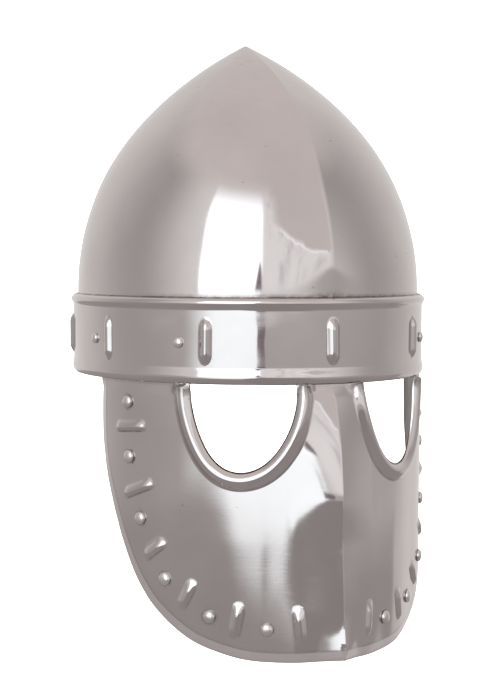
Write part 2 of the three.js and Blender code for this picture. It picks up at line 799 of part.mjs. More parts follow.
// Prong with a ring round the bar; its tip rests on the frame's inner side.
function prong(frame) {
  const ring = rod(PRONG_RING, byBar(frame, 0, 0, -1.6), byBar(frame, 0, 0, 1.6), 10);
  const rest = -(BUCKLE_WIRE + PRONG_RADIUS + GAP + 0.1);
  const root = byBar(frame, -1.2, 1, 0);
  const bend = BUCKLE_LENGTH - 4;
  const arm = rod(PRONG_RADIUS, root, byBar(frame, rest, bend, 0), 8);
  const tipStart = byBar(frame, rest, bend - 0.6, 0);
  const tip = rod(PRONG_RADIUS, tipStart, byBar(frame, rest, BUCKLE_LENGTH + 2.2, 0), 8);
  const bore = rod(BAR_RADIUS + 0.4, byBar(frame, 0, 0, -3), byBar(frame, 0, 0, 3), 10);
  return solid(ring).add(solid(arm)).add(solid(tip)).subtract(solid(bore));
}

const KEEPER_BACK = 22; // from the bar back to the keeper's middle
const KEEPER_HALF_LENGTH = 4;
const KEEPER_ROOM = 2.5; // space inside it for the long strap's tip

// Leather keeper wrapped round the short strap just before the buckle.
function keeper() {
  const place = (grow, halfLength, halfHeight) => (across, along, outwards) => {
    const distance = SHORT_STRAP - KEEPER_BACK + (along - 0.5) * 2 * halfLength;
    const angle = -angleAfter(STRAP_MIDDLE, STRAP_PIVOT_ANGLE, distance);
    const spot = around(STRAP_MIDDLE, angle, STRAP_PIVOT_Z + 2 * across * halfHeight);
    const outer = STRAP_THICKNESS / 2 + GAP + grow;
    const inner = STRAP_THICKNESS / 2 + KEEPER_ROOM + grow;
    return spot.addScaledVector(outward(angle), outwards > 0.5 ? outer : -inner);
  };
  const outside = bentBox(1, 2, place(1, KEEPER_HALF_LENGTH, STRAP_HALF_HEIGHT + 1.6));
  const inside = bentBox(1, 2, place(0, KEEPER_HALF_LENGTH + 2, STRAP_HALF_HEIGHT + 0.4));
  return solid(outside).subtract(solid(inside));
}

// Rivet on which a strap swings: tail outside the headband, domed head inside.
function strapRivet(side) {
  const headRadius = 3.4;
  const tail = 0.6;
  const inside = STRAP_THICKNESS / 2 + 0.6;
  const middle = strapPivot(side, STRAP_MIDDLE);
  const grip = LINER_OUTER - STRAP_MIDDLE + inside + 0.2;
  const geometry = rivetGeometry(headRadius, grip, tail);
  const spot = middle.clone().add(new THREE.Vector3(-side * inside, 0, 0));
  return pointedAt(geometry, spot, new THREE.Vector3(-side, 0, 0));
}

function strapWasher(side) {
  const middle = (LINER_INNER + STRAP_MIDDLE + STRAP_THICKNESS / 2) / 2;
  const spot = strapPivot(side, middle);
  const half = new THREE.Vector3(WASHER_THICKNESS / 2, 0, 0);
  const disc = rod(WASHER_RADIUS, spot.clone().sub(half), spot.clone().add(half), 12);
  return solid(disc).subtract(strapPivotHole(side));
}

// ---------------------------------------------------------------- assembly

function skull() {
  let dome = solid(sweptRound(skullProfile(), false));
  for (const { spot, direction } of bandRivetPlaces()) {
    dome = dome.subtract(rivetHole(spot, direction));
  }
  return dome;
}

addSteel("skull", geometryOf(skull()));
addSteel("brow_band", geometryOf(browBand()));
addSteel("face_plate", geometryOf(facePlate()));

for (const { name, spot, direction, grip } of bandRivetPlaces()) {
  const place = spot.clone().addScaledVector(direction, RIVET_SEAT);
  const geometry = rivetGeometry(BAND_RIVET_HEAD, grip, RIVET_TAIL);
  addWornSteel(name, closed(pointedAt(geometry, place, direction)));
}
for (const { name, spot, direction } of facePlateRivets()) {
  const geometry = rivetGeometry(FACE_RIVET_HEAD, SHEET + 3 * GAP, RIVET_TAIL);
  addWornSteel(name, closed(pointedAt(geometry, spot, direction)));
}

addLeather("liner_headband", geometryOf(headband()));
for (let n = 0; n < LEAF_COUNT; n += 1) addLeather(`liner_leaf_${n + 1}`, closed(leaf(n)));
addMesh("crown_lace", geometryOf(crownLace()), DARK_LEATHER, 0.85, 0);

const frame = buckleFrame();
addMesh("chin_strap_long", geometryOf(longStrap()), DARK_LEATHER, 0.75, 0);
addMesh("chin_strap_short", geometryOf(shortStrap(frame)), DARK_LEATHER, 0.75, 0);
addMesh("strap_keeper", geometryOf(keeper()), DARK_LEATHER, 0.75, 0);
addMesh("buckle_frame", geometryOf(buckleWire(frame)), BRASS, 0.4, 1);
addMesh("buckle_prong", geometryOf(prong(frame)), BRASS, 0.4, 1);
for (const side of [-1, 1]) {
  const word = side < 0 ? "right" : "left";
  addWornSteel(`strap_rivet_${word}`, closed(strapRivet(side)));
  addWornSteel(`strap_washer_${word}`, geometryOf(strapWasher(side)));
}

export default helmet;
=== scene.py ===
# Knight helmet: a pointed steel skull, a riveted brow band and a face plate,
# over a laced leather liner with a two-part chin strap.
# Lengths in this file are in millimetres until a mesh is made; Blender gets metres.
import math
import bpy
import numpy as np
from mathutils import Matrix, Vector, noise
from mathutils.geometry import delaunay_2d_cdt


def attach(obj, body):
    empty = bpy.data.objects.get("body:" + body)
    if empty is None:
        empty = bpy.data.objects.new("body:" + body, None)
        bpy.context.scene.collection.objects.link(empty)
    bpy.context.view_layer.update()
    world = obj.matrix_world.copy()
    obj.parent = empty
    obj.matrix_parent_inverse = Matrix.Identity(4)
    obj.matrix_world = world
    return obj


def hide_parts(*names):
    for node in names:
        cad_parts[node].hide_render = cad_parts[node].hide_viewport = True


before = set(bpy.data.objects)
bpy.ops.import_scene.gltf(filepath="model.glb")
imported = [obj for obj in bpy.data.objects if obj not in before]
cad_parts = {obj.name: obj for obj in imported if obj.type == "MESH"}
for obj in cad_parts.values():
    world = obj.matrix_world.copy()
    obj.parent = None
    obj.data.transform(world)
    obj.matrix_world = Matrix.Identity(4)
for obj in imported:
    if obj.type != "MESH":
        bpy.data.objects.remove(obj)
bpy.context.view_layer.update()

MM = 0.001

# ---------------------------------------------------------------- sizes, as in the CAD

RATIO = 1.16            # every level is an ellipse this much longer than wide
SHEET = 1.2             # steel thickness
SKULL_HALF = 101.3
SKULL_APEX = 199.0
PLATE_HALF = 102.8
BAND_HALF = 104.3
LINER_OUTER = 98.7
LINER_INNER = 96.7
UP = np.array([0.0, 0.0, 1.0])

# ---------------------------------------------------------------- helpers


def wall(rho, angle, z):
    """Points on the ellipse of half width rho, at an angle in degrees from the front."""
    turn = np.radians(angle)
    x = rho * np.sin(turn)
    y = -RATIO * rho * np.cos(turn)
    return np.stack(np.broadcast_arrays(x, y, np.asarray(z, float)), -1)


def smooth(low, high, value):
    t = np.clip((value - low) / (high - low), 0.0, 1.0)
    return t * t * (3 - 2 * t)


def unit(vectors):
    """Rows of vectors scaled to length 1."""
    return vectors / np.linalg.norm(vectors, axis=-1)[..., None]


def along_line(line):
    """Distance along a line of points, from 0 at its first point."""
    return np.concatenate([[0], np.cumsum(np.linalg.norm(np.diff(line, axis=0), axis=1))])


def wobble(points, scale, seed):
    """Smooth noise between about -1 and 1, read at each point in millimetres."""
    shift = Vector((seed * 17.3, seed * 5.1, seed * 9.7))
    return np.array([noise.noise(Vector(p) / scale + shift) for p in points])


def mesh_object(name, verts, faces, body="helmet", shade_smooth=True):
    """A mesh in millimetres, made in metres and riding on a body."""
    mesh = bpy.data.meshes.new(name)
    mesh.from_pydata((np.asarray(verts, float) * MM).tolist(), [], faces)
    mesh.validate()
    mesh.update()
    if shade_smooth:
        mesh.shade_smooth()
    obj = bpy.data.objects.new(name, mesh)
    bpy.context.scene.collection.objects.link(obj)
    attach(obj, body)
    return obj


def ring_faces(rings, sides, closed=False, first=0, turned=False):
    """Quads between neighbouring rings of points; `first` is the first point's number."""
    faces = []
    for i in range(rings if closed else rings - 1):
        a = first + i * sides
        b = first + ((i + 1) % rings) * sides
        for k in range(sides):
            m = (k + 1) % sides
            if turned:
                faces.append((a + k, a + m, b + m, b + k))
            else:
                faces.append((a + k, b + k, b + m, a + m))
    return faces


def spun(profile, sides):
    """Rings of points about +Z, one for each (radius, height)."""
    verts = []
    for r, z in profile:
        for k in range(sides):
            turn = 2 * math.pi * k / sides
            verts.append((r * math.cos(turn), r * math.sin(turn), z))
    return verts


def aimed(verts, direction, spot):
    """Points made about +Z, turned to a direction and moved to a spot."""
    turn = Vector((0, 0, 1)).rotation_difference(Vector(direction)).to_matrix()
    return np.asarray(verts) @ np.array(turn).T + spot


def set_mask(obj, name, values):
    """A per-vertex mask that the materials read."""
    layer = obj.data.attributes.new(name, "FLOAT", "POINT")
    layer.data.foreach_set("value", np.asarray(values, np.float32))


def shell_object(name, outer, inner, faces, body="helmet"):
    """A closed sheet from two skins with the same faces; the inner one takes slot 1."""
    count = len(outer)
    border = {}
    for face in faces:
        for a, b in zip(face, face[1:] + face[:1]):
            if border.pop((b, a), None) is None:
                border[(a, b)] = True
    skins = list(faces) + [tuple(i + count for i in reversed(face)) for face in faces]
    rim = [(b, a, a + count, b + count) for a, b in border]
    obj = mesh_object(name, np.vstack([outer, inner]), skins + rim, body)
    slots = np.zeros(len(skins) + len(rim), np.int32)
    slots[len(faces):len(skins)] = 1
    obj.data.polygons.foreach_set("material_index", slots)
    obj.data.materials.append(STEEL)
    obj.data.materials.append(STEEL_INSIDE)
    obj.data.set_sharp_from_angle(angle=math.radians(50))
    return obj


# ---------------------------------------------------------------- materials


def new_material(name, metallic, roughness):
    material = bpy.data.materials.new(name)
    material.use_nodes = True
    shader = material.node_tree.nodes["Principled BSDF"]
    shader.inputs["Metallic"].default_value = metallic
    shader.inputs["Roughness"].default_value = roughness
    return material, material.node_tree, shader


def add_node(tree, kind, **settings):
    node = tree.nodes.new(kind)
    for key, value in settings.items():
        if key in node.inputs:
            node.inputs[key].default_value = value
        else:
            setattr(node, key, value)
    return node


def stretched(tree, vector, scale):
    node = tree.nodes.new("ShaderNodeMapping")
    tree.links.new(vector, node.inputs["Vector"])
    node.inputs["Scale"].default_value = scale
    return node.outputs["Vector"]


def mapped(tree, scale=(1, 1, 1)):
    spot = tree.nodes.new("ShaderNodeTexCoord")
    return stretched(tree, spot.outputs["Object"], scale)


def noise_node(tree, vector, scale, detail=4.0, rough=0.55):
    node = add_node(tree, "ShaderNodeTexNoise", Scale=scale, Detail=detail, Roughness=rough)
    tree.links.new(vector, node.inputs["Vector"])
    return node.outputs["Fac"]


def ramp(tree, value, stops):
    node = tree.nodes.new("ShaderNodeValToRGB")
    elements = node.color_ramp.elements
    while len(elements) < len(stops):
        elements.new(0.5)
    for element, (position, colour) in zip(elements, stops):
        element.position = position
        element.color = (*colour, 1.0)
    tree.links.new(value, node.inputs["Fac"])
    return node.outputs["Color"]


def remap(tree, value, low, high, to_low, to_high, change="LINEAR"):
    node = add_node(tree, "ShaderNodeMapRange", interpolation_type=change)
    settings = (("From Min", low), ("From Max", high), ("To Min", to_low), ("To Max", to_high))
    for key, number in settings:
        node.inputs[key].default_value = number
    tree.links.new(value, node.inputs["Value"])
    return node.outputs["Result"]


def smooth_step(tree, value, zero_at, one_at):
    """0 on one side of zero_at and 1 on the other side of one_at, with a soft change between."""
    if zero_at < one_at:
        return remap(tree, value, zero_at, one_at, 0.0, 1.0, "SMOOTHSTEP")
    return remap(tree, value, one_at, zero_at, 1.0, 0.0, "SMOOTHSTEP")


def maths(tree, kind, a, b):
    node = add_node(tree, "ShaderNodeMath", operation=kind)
    for socket, value in zip(node.inputs, (a, b)):
        if isinstance(value, (int, float)):
            socket.default_value = value
        else:
            tree.links.new(value, socket)
    return node.outputs[0]


def times(tree, a, b):
    return maths(tree, "MULTIPLY", a, b)


def mix_colour(tree, factor, a, b):
    node = add_node(tree, "ShaderNodeMix", data_type="RGBA")
    for socket, value in ((node.inputs[0], factor), (node.inputs[6], a), (node.inputs[7], b)):
        if isinstance(value, tuple):
            socket.default_value = (*value, 1.0)
        elif isinstance(value, float):
            socket.default_value = value
        else:
            tree.links.new(value, socket)
    return node.outputs[2]


def bump(tree, shader, layers):
    """Chains (height, strength, distance in metres) layers into the shader's normal."""
    previous = None
    for height, strength, distance in layers:
        node = add_node(tree, "ShaderNodeBump", Strength=strength, Distance=distance)
        tree.links.new(height, node.inputs["Height"])
        if previous is not None:
            tree.links.new(previous, node.inputs["Normal"])
        previous = node.outputs["Normal"]
    tree.links.new(previous, shader.inputs["Normal"])


def mask(tree, name):
    node = add_node(tree, "ShaderNodeAttribute", attribute_name=name)
    return node.outputs["Fac"]


def steel_material(name, bright, dull, rough_low, rough_high, with_marks_and_painted_light):
    """Hand-polished steel: soft tone changes, fine polishing lines, pits, painted shade with some dirt,
    and a painted sheen on the hem.
    """
    material, tree, shader = new_material(name, 1.0, rough_low)
    cloud = noise_node(tree, mapped(tree), 22.0, 3.0)
    colour = ramp(tree, cloud, [(0.3, dull), (0.7, bright)])
    lines = noise_node(tree, mapped(tree, (60, 60, 900)), 1.0, 2.0)
    cross = noise_node(tree, mapped(tree, (700, 500, 60)), 1.0, 2.0)
    speck = noise_node(tree, mapped(tree), 330.0, 1.0)
    pits = remap(tree, speck, 0.175, 0.2, 1.0, 0.0)
    colour = mix_colour(tree, times(tree, pits, 0.5), colour, (0.16, 0.14, 0.13))
    patchy = noise_node(tree, mapped(tree), 35.0, 5.0, 0.65)
    rough = remap(tree, patchy, 0.35, 0.7, rough_low, rough_high)
    rough = maths(tree, "ADD", rough, times(tree, lines, 0.03))
    if with_marks_and_painted_light:
        # Fine scuffs across the crown, from handling and storage.
        place = tree.nodes.new("ShaderNodeSeparateXYZ")
        tree.links.new(mapped(tree), place.inputs["Vector"])
        high = smooth_step(tree, place.outputs["Z"], 0.11, 0.16)
        hair = noise_node(tree, mapped(tree, (90, 140, 1400)), 1.0, 3.0, 0.7)
        patch = noise_node(tree, mapped(tree), 18.0, 2.0)
        area = times(tree, high, remap(tree, patch, 0.45, 0.62, 0.0, 1.0))
        scuff = times(tree, area, remap(tree, hair, 0.62, 0.7, 0.0, 0.4))
        colour = mix_colour(tree, scuff, colour, (0.22, 0.2, 0.19))
        # Painted shade: masked seams, creases, rib flanks and rivet feet turn nearly black and rougher,
        # with some dirt at the welds.
        uneven = noise_node(tree, mapped(tree), 260.0, 4.0, 0.7)
        painted_shade_and_dirt = times(tree, mask(tree, "painted_shade_and_dirt"), remap(tree, uneven, 0.3, 0.6, 0.25, 1.0))
        colour = mix_colour(tree, painted_shade_and_dirt, colour, (0.07, 0.055, 0.045))
        rough = maths(tree, "ADD", rough, times(tree, painted_shade_and_dirt, 0.4))
        # Painted sheen: the hem strip's colour is made lighter than the plate's; it is also made rougher.
        hem = mask(tree, "hem")
        colour = mix_colour(tree, times(tree, hem, 0.8), colour, (0.84, 0.79, 0.785))
        rough = maths(tree, "ADD", rough, times(tree, hem, 0.24))
    tree.links.new(colour, shader.inputs["Base Color"])
    tree.links.new(rough, shader.inputs["Roughness"])
    bump(tree, shader, [(lines, 0.05, 0.00004), (cross, 0.04, 0.00004), (speck, 0.05, 0.00005)])
    return material


STEEL = steel_material("polished_steel", (0.645, 0.603, 0.6), (0.595, 0.552, 0.55), 0.035, 0.07, True)
STEEL_INSIDE = steel_material("steel_inside", (0.36, 0.34, 0.33), (0.24, 0.22, 0.21), 0.32, 0.5, False)
# The rivets' steel is rougher, and its colour is lighter than the plate's as a painted sheen.
RIVET = steel_material("rivet_steel", (0.8, 0.76, 0.75), (0.66, 0.62, 0.61), 0.2, 0.32, False)

# ---------------------------------------------------------------- skull

MERIDIAN = [(0.0, SKULL_APEX), (112.8, 138.7), (SKULL_HALF, 53.0), (SKULL_HALF, 30.0)]
SKULL_FOOT = 3.0


def meridian(t):
    """Half width and height along the skull's outline, from its point at 0 to its wall at 1."""
    t = np.asarray(t, float)[..., None]
    p = [np.array(point) for point in MERIDIAN]
    return (1 - t) ** 3 * p[0] + 3 * (1 - t) ** 2 * t * p[1] + 3 * (1 - t) * t * t * p[2] + t ** 3 * p[3]


def skull_half_at(z):
    t = np.linspace(0, 1, 400)
    line = meridian(t)
    return float(np.interp(z, line[::-1, 1], line[::-1, 0]))


def make_skull():
    cols = 300
    t = np.linspace(0, 1, 110)[1:] ** 1.25
    line = meridian(t)
    wall_rows = np.linspace(29, SKULL_FOOT, 10)
    rho = np.concatenate([line[:, 0], np.full(len(wall_rows), SKULL_HALF)])
    height = np.concatenate([line[:, 1], wall_rows])
    angle = np.linspace(-180, 180, cols, endpoint=False)
    rho_grid = np.repeat(rho[:, None], cols, 1)
    z_grid = np.repeat(height[:, None], cols, 1)
    angle_grid = np.repeat(angle[None], len(rho), 0)
    # The raised line down the middle of the front, with a fainter one behind.
    stretch = smooth(2, 40, rho_grid) * (1 - 0.75 * smooth(75, 48, z_grid))
    keel = 2.5 * np.exp(-np.abs(angle_grid) / 11.0)
    back = 0.5 * np.exp(-np.abs(180 - np.abs(angle_grid)) / 14.0)
    rho_grid = rho_grid + (keel + back) * stretch
    points = wall(rho_grid, angle_grid, z_grid).reshape(-1, 3)
    calm = smooth(44, 70, points[:, 2]) * smooth(0, 25, np.hypot(points[:, 0], points[:, 1]))
    out = unit(points * [1, 1 / RATIO ** 2, 0])
    lift = 0.26 * wobble(points, 52, 1) + 0.1 * wobble(points, 23, 2)
    points = points + out * (lift * calm)[:, None]
    slope = unit(np.gradient(np.stack([rho, height], -1), axis=0))
    down, flat = -slope[:, 1], slope[:, 0]
    down = np.repeat(down, cols)
    flat = np.repeat(flat, cols)
    inner = points - SHEET * (out * down[:, None] + UP * flat[:, None])
    top = [[0, 0, SKULL_APEX - 0.3]]
    outer = np.vstack([top, points])
    inner = np.vstack([[[0, 0, SKULL_APEX - 1.9]], inner])
    faces = [(0, 1 + c, 1 + (c + 1) % cols) for c in range(cols)]
    faces += [tuple(i + 1 for i in reversed(f)) for f in ring_faces(len(rho), cols, turned=True)]
    skull = shell_object("skull_steel", outer, inner, faces)
    # Painted shade: the steel darkens just above the band's top edge, reaching higher along the front
    # crease.
    z = np.tile(outer[:, 2], 2)
    off = np.abs(np.degrees(np.arctan2(np.tile(outer[:, 0], 2), -np.tile(outer[:, 1], 2))))
    reach = 48.0 + 0.5 * smooth(70, 20, off) + 3.0 * smooth(9, 2, off)
    set_mask(skull, "painted_shade_and_dirt", 0.8 * np.clip((reach - z) / (reach - 47.4), 0, 1))
    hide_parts("skull")
    return skull


# ---------------------------------------------------------------- brow band

BAND_RIDGES = 10
BAND_TOP = 47.4
RIB_Z = 23.4
RIB_HALF = 12.4


def arc_table(rho):
    """Arc length along the ellipse for each quarter degree from 0 to 360."""
    angle = np.arange(0, 360.01, 0.25)
    return angle, along_line(wall(rho, angle, 0.0))


BAND_ANGLES, BAND_ARCS = arc_table(BAND_HALF)
BAND_ROUND = BAND_ARCS[-1]


def band_profile():
    lip = skull_half_at(BAND_TOP) + 0.35
    corners = [
        (103.2, 0.5), (103.5, 0.05), (104.0, 0.2), (104.6, 1.6), (104.9, 3.2), (104.92, 4.6),
        (104.7, 6.2), (104.3, 8.4), (104.3, 12.0), (104.3, 22.0), (104.3, 33.0), (104.3, 41.3),
        (104.8, 42.0), (105.4, 42.9), (105.7, 43.9), (105.7, 44.8), (105.3, 45.8),
        (104.4, 46.8), (lip + 0.2, 47.6),
    ]
    corners = np.array(corners)
    along = along_line(corners)
    end = along[-1]
    low, high = 10.5, end - 10.0
    # Close rows at the lower edge and the bead, wider ones on the plain wall between.
    fine = np.concatenate([np.arange(0, low, 0.6), np.arange(low, high, 0.95), np.arange(high, end, 0.55)])
    rho = np.interp(fine, along, corners[:, 0])
    z = np.interp(fine, along, corners[:, 1])
    kernel = np.array([1, 2, 3, 2, 1]) / 9.0
    rho[2:-2] = np.convolve(rho, kernel, "valid")
    z[2:-2] = np.convolve(z, kernel, "valid")
    return rho, z


def rib_height(across, along, half_width, half_length, fade_inner):
    """Height from 0 to 1 of a half-round pressed rib with rounded ends; `along` is 0 at its middle."""
    past = np.clip(np.abs(along) - (half_length - 1.5 * half_width), 0, None) / 1.5
    away = np.hypot(across, past) / half_width
    return np.clip(1 - away ** 2, 0, 1) ** 1.15 * smooth(half_length, half_length - fade_inner, along)


def make_band():
    rho, z = band_profile()
    slope = unit(np.gradient(np.stack([rho, z], -1), axis=0))
    ridge_arcs = np.arange(BAND_RIDGES) * BAND_ROUND / BAND_RIDGES
    arcs = [np.arange(0, BAND_ROUND, 2.2)]
    for centre in ridge_arcs:
        arcs.append(centre + np.arange(-4.8, 4.81, 0.48))
    arcs = np.unique(np.round(np.concatenate(arcs) % BAND_ROUND, 3))
    keep = np.concatenate([[True], np.diff(arcs) > 0.25])
    arcs = arcs[keep]
    angle = np.interp(arcs, BAND_ARCS, BAND_ANGLES)
    rho_grid = np.repeat(rho[:, None], len(arcs), 1)
    z_grid = np.repeat(z[:, None], len(arcs), 1)
    arc_grid = np.repeat(arcs[None], len(rho), 0)
    painted_shade_and_dirt = np.zeros_like(rho_grid)
    for i, centre in enumerate(ridge_arcs):
        away = (arc_grid - centre + BAND_ROUND / 2) % BAND_ROUND - BAND_ROUND / 2
        lean = 0.02 * math.sin(3.1 * i + 1)
        across = away + lean * (z_grid - RIB_Z) - 0.5 * math.sin(5.3 * i)
        height = rib_height(across, z_grid - RIB_Z, 3.7, RIB_HALF, 0.01)
        rho_grid = rho_grid + 2.3 * height
        # Painted shade: a dark line along both flanks of each rib.
        edge = np.exp(-((np.abs(across) - 3.7) / 0.45) ** 2) * smooth(11, 8, np.abs(z_grid - RIB_Z))
        painted_shade_and_dirt = np.maximum(painted_shade_and_dirt, 0.3 * edge)
    angle_grid = np.repeat(angle[None], len(rho), 0)
    points = wall(rho_grid, angle_grid, z_grid).reshape(-1, 3)
    out = unit(points * [1, 1 / RATIO ** 2, 0])
    flat = smooth(0, 6, points[:, 2]) * smooth(47, 40, points[:, 2])
    lift = 0.16 * wobble(points, 30, 3) + 0.05 * wobble(points, 11, 4)
    points = points + out * (lift * (0.25 + 0.75 * flat))[:, None]
    drift = 0.25 * wobble(points, 60, 5)
    points[:, 2] += drift * smooth(25, 45, points[:, 2])
    back = np.repeat(slope[:, 1], len(arcs))[:, None]
    rise = np.repeat(-slope[:, 0], len(arcs))[:, None]
    inner = points - SHEET * (out * back + UP * rise)
    faces = ring_faces(len(rho), len(arcs), turned=True)
    band = shell_object("brow_band_steel", points, inner, faces)
    # Painted shade: darker at the top edge where the band meets the skull, and along the lower edge.
    seam_shade = np.maximum(0.9 * smooth(46.4, 47.5, z_grid), 0.55 * smooth(0.9, 0.1, z_grid))
    set_mask(band, "painted_shade_and_dirt", np.tile(np.maximum(painted_shade_and_dirt, seam_shade).ravel(), 2))
    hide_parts("brow_band")
    return band


# ---------------------------------------------------------------- face plate

KEEL_Z = [(-160, 17.6), (-148, 17.0), (-68, 12.0), (-8, 4.0), (-0.8, 0.0)]
KEEL_ANGLE = [(0, 1), (12, 0.41), (21, 0.12), (30, 0), (41, -0.15), (52, -0.06), (66, 0)]
FLARE_Z = [(-24, 0.7), (-9, 0.4), (-0.8, 0.0)]
PLATE_EDGE = [
    (78.2, -4), (78, -31), (77, -45.5), (75.9, -54.6), (74.3, -63.5), (71.5, -77), (67.6, -94),
    (62.4, -111), (55, -126.8), (43.2, -142), (32.5, -148.8), (23, -151.5), (11.5, -151),
    (0, -148.5),
]
PLATE_RIDGES = [
    (69.7, -26.6, 57.5, -24.6), (66.2, -64.3, 54.8, -55.7), (58.2, -98.2, 50.6, -87.5),
    (45.6, -124.1, 41.3, -108.2), (29.9, -138, 28.2, -118.5), (11.3, -139, 12.3, -119.4),
]
PLATE_RIVETS = [(65, -12.1), (64.4, -43), (60, -77.1), (51.1, -109.3), (36.8, -128), (20.5, -133.2)]


def pchip(pairs, value):
    """Smooth curve through (input, output) pairs that never overshoots."""
    xs = np.array([p[0] for p in pairs], float)
    ys = np.array([p[1] for p in pairs], float)
    slope = np.diff(ys) / np.diff(xs)
    tangent = np.zeros_like(xs)
    tangent[0] = slope[0]
    tangent[-1] = slope[-1]
    for i in range(1, len(xs) - 1):
        a, b = slope[i - 1], slope[i]
        tangent[i] = 0 if a * b <= 0 else 2 * a * b / (a + b)
    value = np.clip(np.asarray(value, float), xs[0], xs[-1])
    i = np.clip(np.searchsorted(xs, value) - 1, 0, len(xs) - 2)
    h = xs[i + 1] - xs[i]
    t = (value - xs[i]) / h
    a = (1 + 2 * t) * (1 - t) ** 2 * ys[i] + t * t * (3 - 2 * t) * ys[i + 1]
    return a + h * (t * (1 - t) ** 2 * tangent[i] - t * t * (1 - t) * tangent[i + 1])


def plate_point(angle, z):
    """The plate's smooth outer form, without rims and ribs."""
    angle, z = np.broadcast_arrays(np.asarray(angle, float), np.asarray(z, float))
    point = wall(PLATE_HALF + pchip(FLARE_Z, z), angle, z)
    off = np.abs(angle)
    keel = pchip(KEEL_Z, z) * pchip(KEEL_ANGLE, off)
    beak = 1.5 * smooth(-122, -150, z) * (np.exp(-off / 2.6) - 0.55 * np.exp(-(((off - 7) / 3.5) ** 2)))
    nose = 2.5 * smooth(-4, -38, z) * smooth(-88, -58, z) * np.clip(1 - off / 14, 0, 1) ** 1.05
    tuck = 0.5 * np.clip((-98 - z) / 45, 0, 1.2) ** 2 * smooth(70, 45, off)
    point[..., 1] -= keel + beak + nose - tuck
    return point


def plate_normal(angle, z):
    e = 0.4
    across = plate_point(angle + e, z) - plate_point(angle - e, z)
    up = plate_point(angle, z + e) - plate_point(angle, z - e)
    return unit(np.cross(across, up))


# The plate is laid out flat as (arc length, height), cut out there, and wrapped.
FLAT_ANGLE = np.arange(0, 95, 0.1)
FLAT_LINE = plate_point(FLAT_ANGLE, np.full_like(FLAT_ANGLE, -40.0))
FLAT_ARC = along_line(FLAT_LINE)


def arc_of(angle):
    return np.sign(angle) * np.interp(np.abs(angle), FLAT_ANGLE, FLAT_ARC)


def angle_of(arc):
    return np.sign(arc) * np.interp(np.abs(arc), FLAT_ARC, FLAT_ANGLE)


def resample(line, step, closed):
    line = np.asarray(line, float)
    if closed:
        line = np.vstack([line, line[:1]])
    along = along_line(line)
    count = max(2, int(round(along[-1] / step)))
    spots = np.linspace(0, along[-1], count + 1)
    if closed:
        spots = spots[:-1]
    return np.stack([np.interp(spots, along, line[:, k]) for k in range(2)], -1)


def curve_through(points, steps=16):
    """Catmull-Rom curve through flat points."""
    points = np.asarray(points, float)
    padded = np.vstack([2 * points[0] - points[1], points, 2 * points[-1] - points[-2]])
    out = []
    for i in range(1, len(padded) - 2):
        p0, p1, p2, p3 = padded[i - 1:i + 3]
        for t in np.arange(steps) / steps:
            a = 2 * p1 + (p2 - p0) * t + (2 * p0 - 5 * p1 + 4 * p2 - p3) * t * t
            out.append(0.5 * (a + (3 * p1 - p0 - 3 * p2 + p3) * t ** 3))
    out.append(points[-1])
    return np.array(out)


PLATE_TOP = 14.0
EYE_CENTRE = 53.6
EYE_HALF = 31.0
EYE_DEPTH = 47.6


def plate_outline():
    right = [(arc_of(a), z) for a, z in PLATE_EDGE]
    side = curve_through([(right[0][0], PLATE_TOP), (right[0][0], 4.0)] + right)
    other = side[:-1][::-1] * [-1, 1]
    return np.vstack([side, other])


def eye_line(side):
    """Edge of an eye opening from its outer top corner down and up to the inner one."""
    turn = np.radians(np.linspace(0, 180, 61))
    bow = np.sin(turn)
    s = EYE_CENTRE + 2.0 * bow ** 2 + (EYE_HALF - 1.1 * np.sin(2 * turn) ** 2) * np.cos(turn)
    z = -0.2 - (EYE_DEPTH - 0.2) * bow
    return np.stack([side * s, z], -1)


def distance_to(points, line, closed):
    """Shortest distance from each flat point to a line of points."""
    a = line
    b = np.roll(line, -1, axis=0)
    if not closed:
        a, b = line[:-1], line[1:]
    best = np.full(len(points), 1e9)
    for p, q in zip(a, b):
        d = q - p
        length = max(float(d @ d), 1e-12)
        t = np.clip(((points - p) @ d) / length, 0, 1)
        near = p + t[:, None] * d
        best = np.minimum(best, np.hypot(*(points - near).T))
    return best


def inside(points, loop):
    x, y = points.T
    hit = np.zeros(len(points), bool)
    ax, ay = loop.T
    bx, by = np.roll(loop, -1, axis=0).T
    for i in range(len(loop)):
        if ay[i] == by[i]:
            continue
        crosses = (ay[i] > y) != (by[i] > y)
        hit ^= crosses & (x < (bx[i] - ax[i]) * (y - ay[i]) / (by[i] - ay[i]) + ax[i])
    return hit


def offset_line(line, distance, closed):
    """The line moved to its left by a distance."""
    if closed:
        tangent = np.roll(line, -1, axis=0) - np.roll(line, 1, axis=0)
    else:
        tangent = np.gradient(line, axis=0)
    tangent = unit(tangent)
    return line + distance * np.stack([-tangent[:, 1], tangent[:, 0]], -1)


def plate_loops():
    """The plate's outline and its two eye openings, as flat loops."""
    outline = resample(plate_outline(), 1.5, True)
    if np.cross(outline, np.roll(outline, -1, axis=0)).sum() < 0:
        outline = outline[::-1]
    eyes = []
    for side in (-1, 1):
        line = eye_line(side)
        top = np.array([line[-1] + [0, PLATE_TOP - 3], line[0] + [0, PLATE_TOP - 3]])
        loop = resample(np.vstack([line, top]), 1.25, True)
        if np.cross(loop, np.roll(loop, -1, axis=0)).sum() > 0:
            loop = loop[::-1]
        eyes.append(loop)
    return outline, eyes


def plate_ridges():
    """Outer and inner end of each pressed rib, on the flat plate."""
    ridges = []
    for outer_a, outer_z, inner_a, inner_z in PLATE_RIDGES:
        for side in (-1, 1):
            outer = np.array([side * arc_of(outer_a), outer_z])
            inner = np.array([side * arc_of(inner_a), inner_z])
            ridges.append((outer, inner))
    return ridges


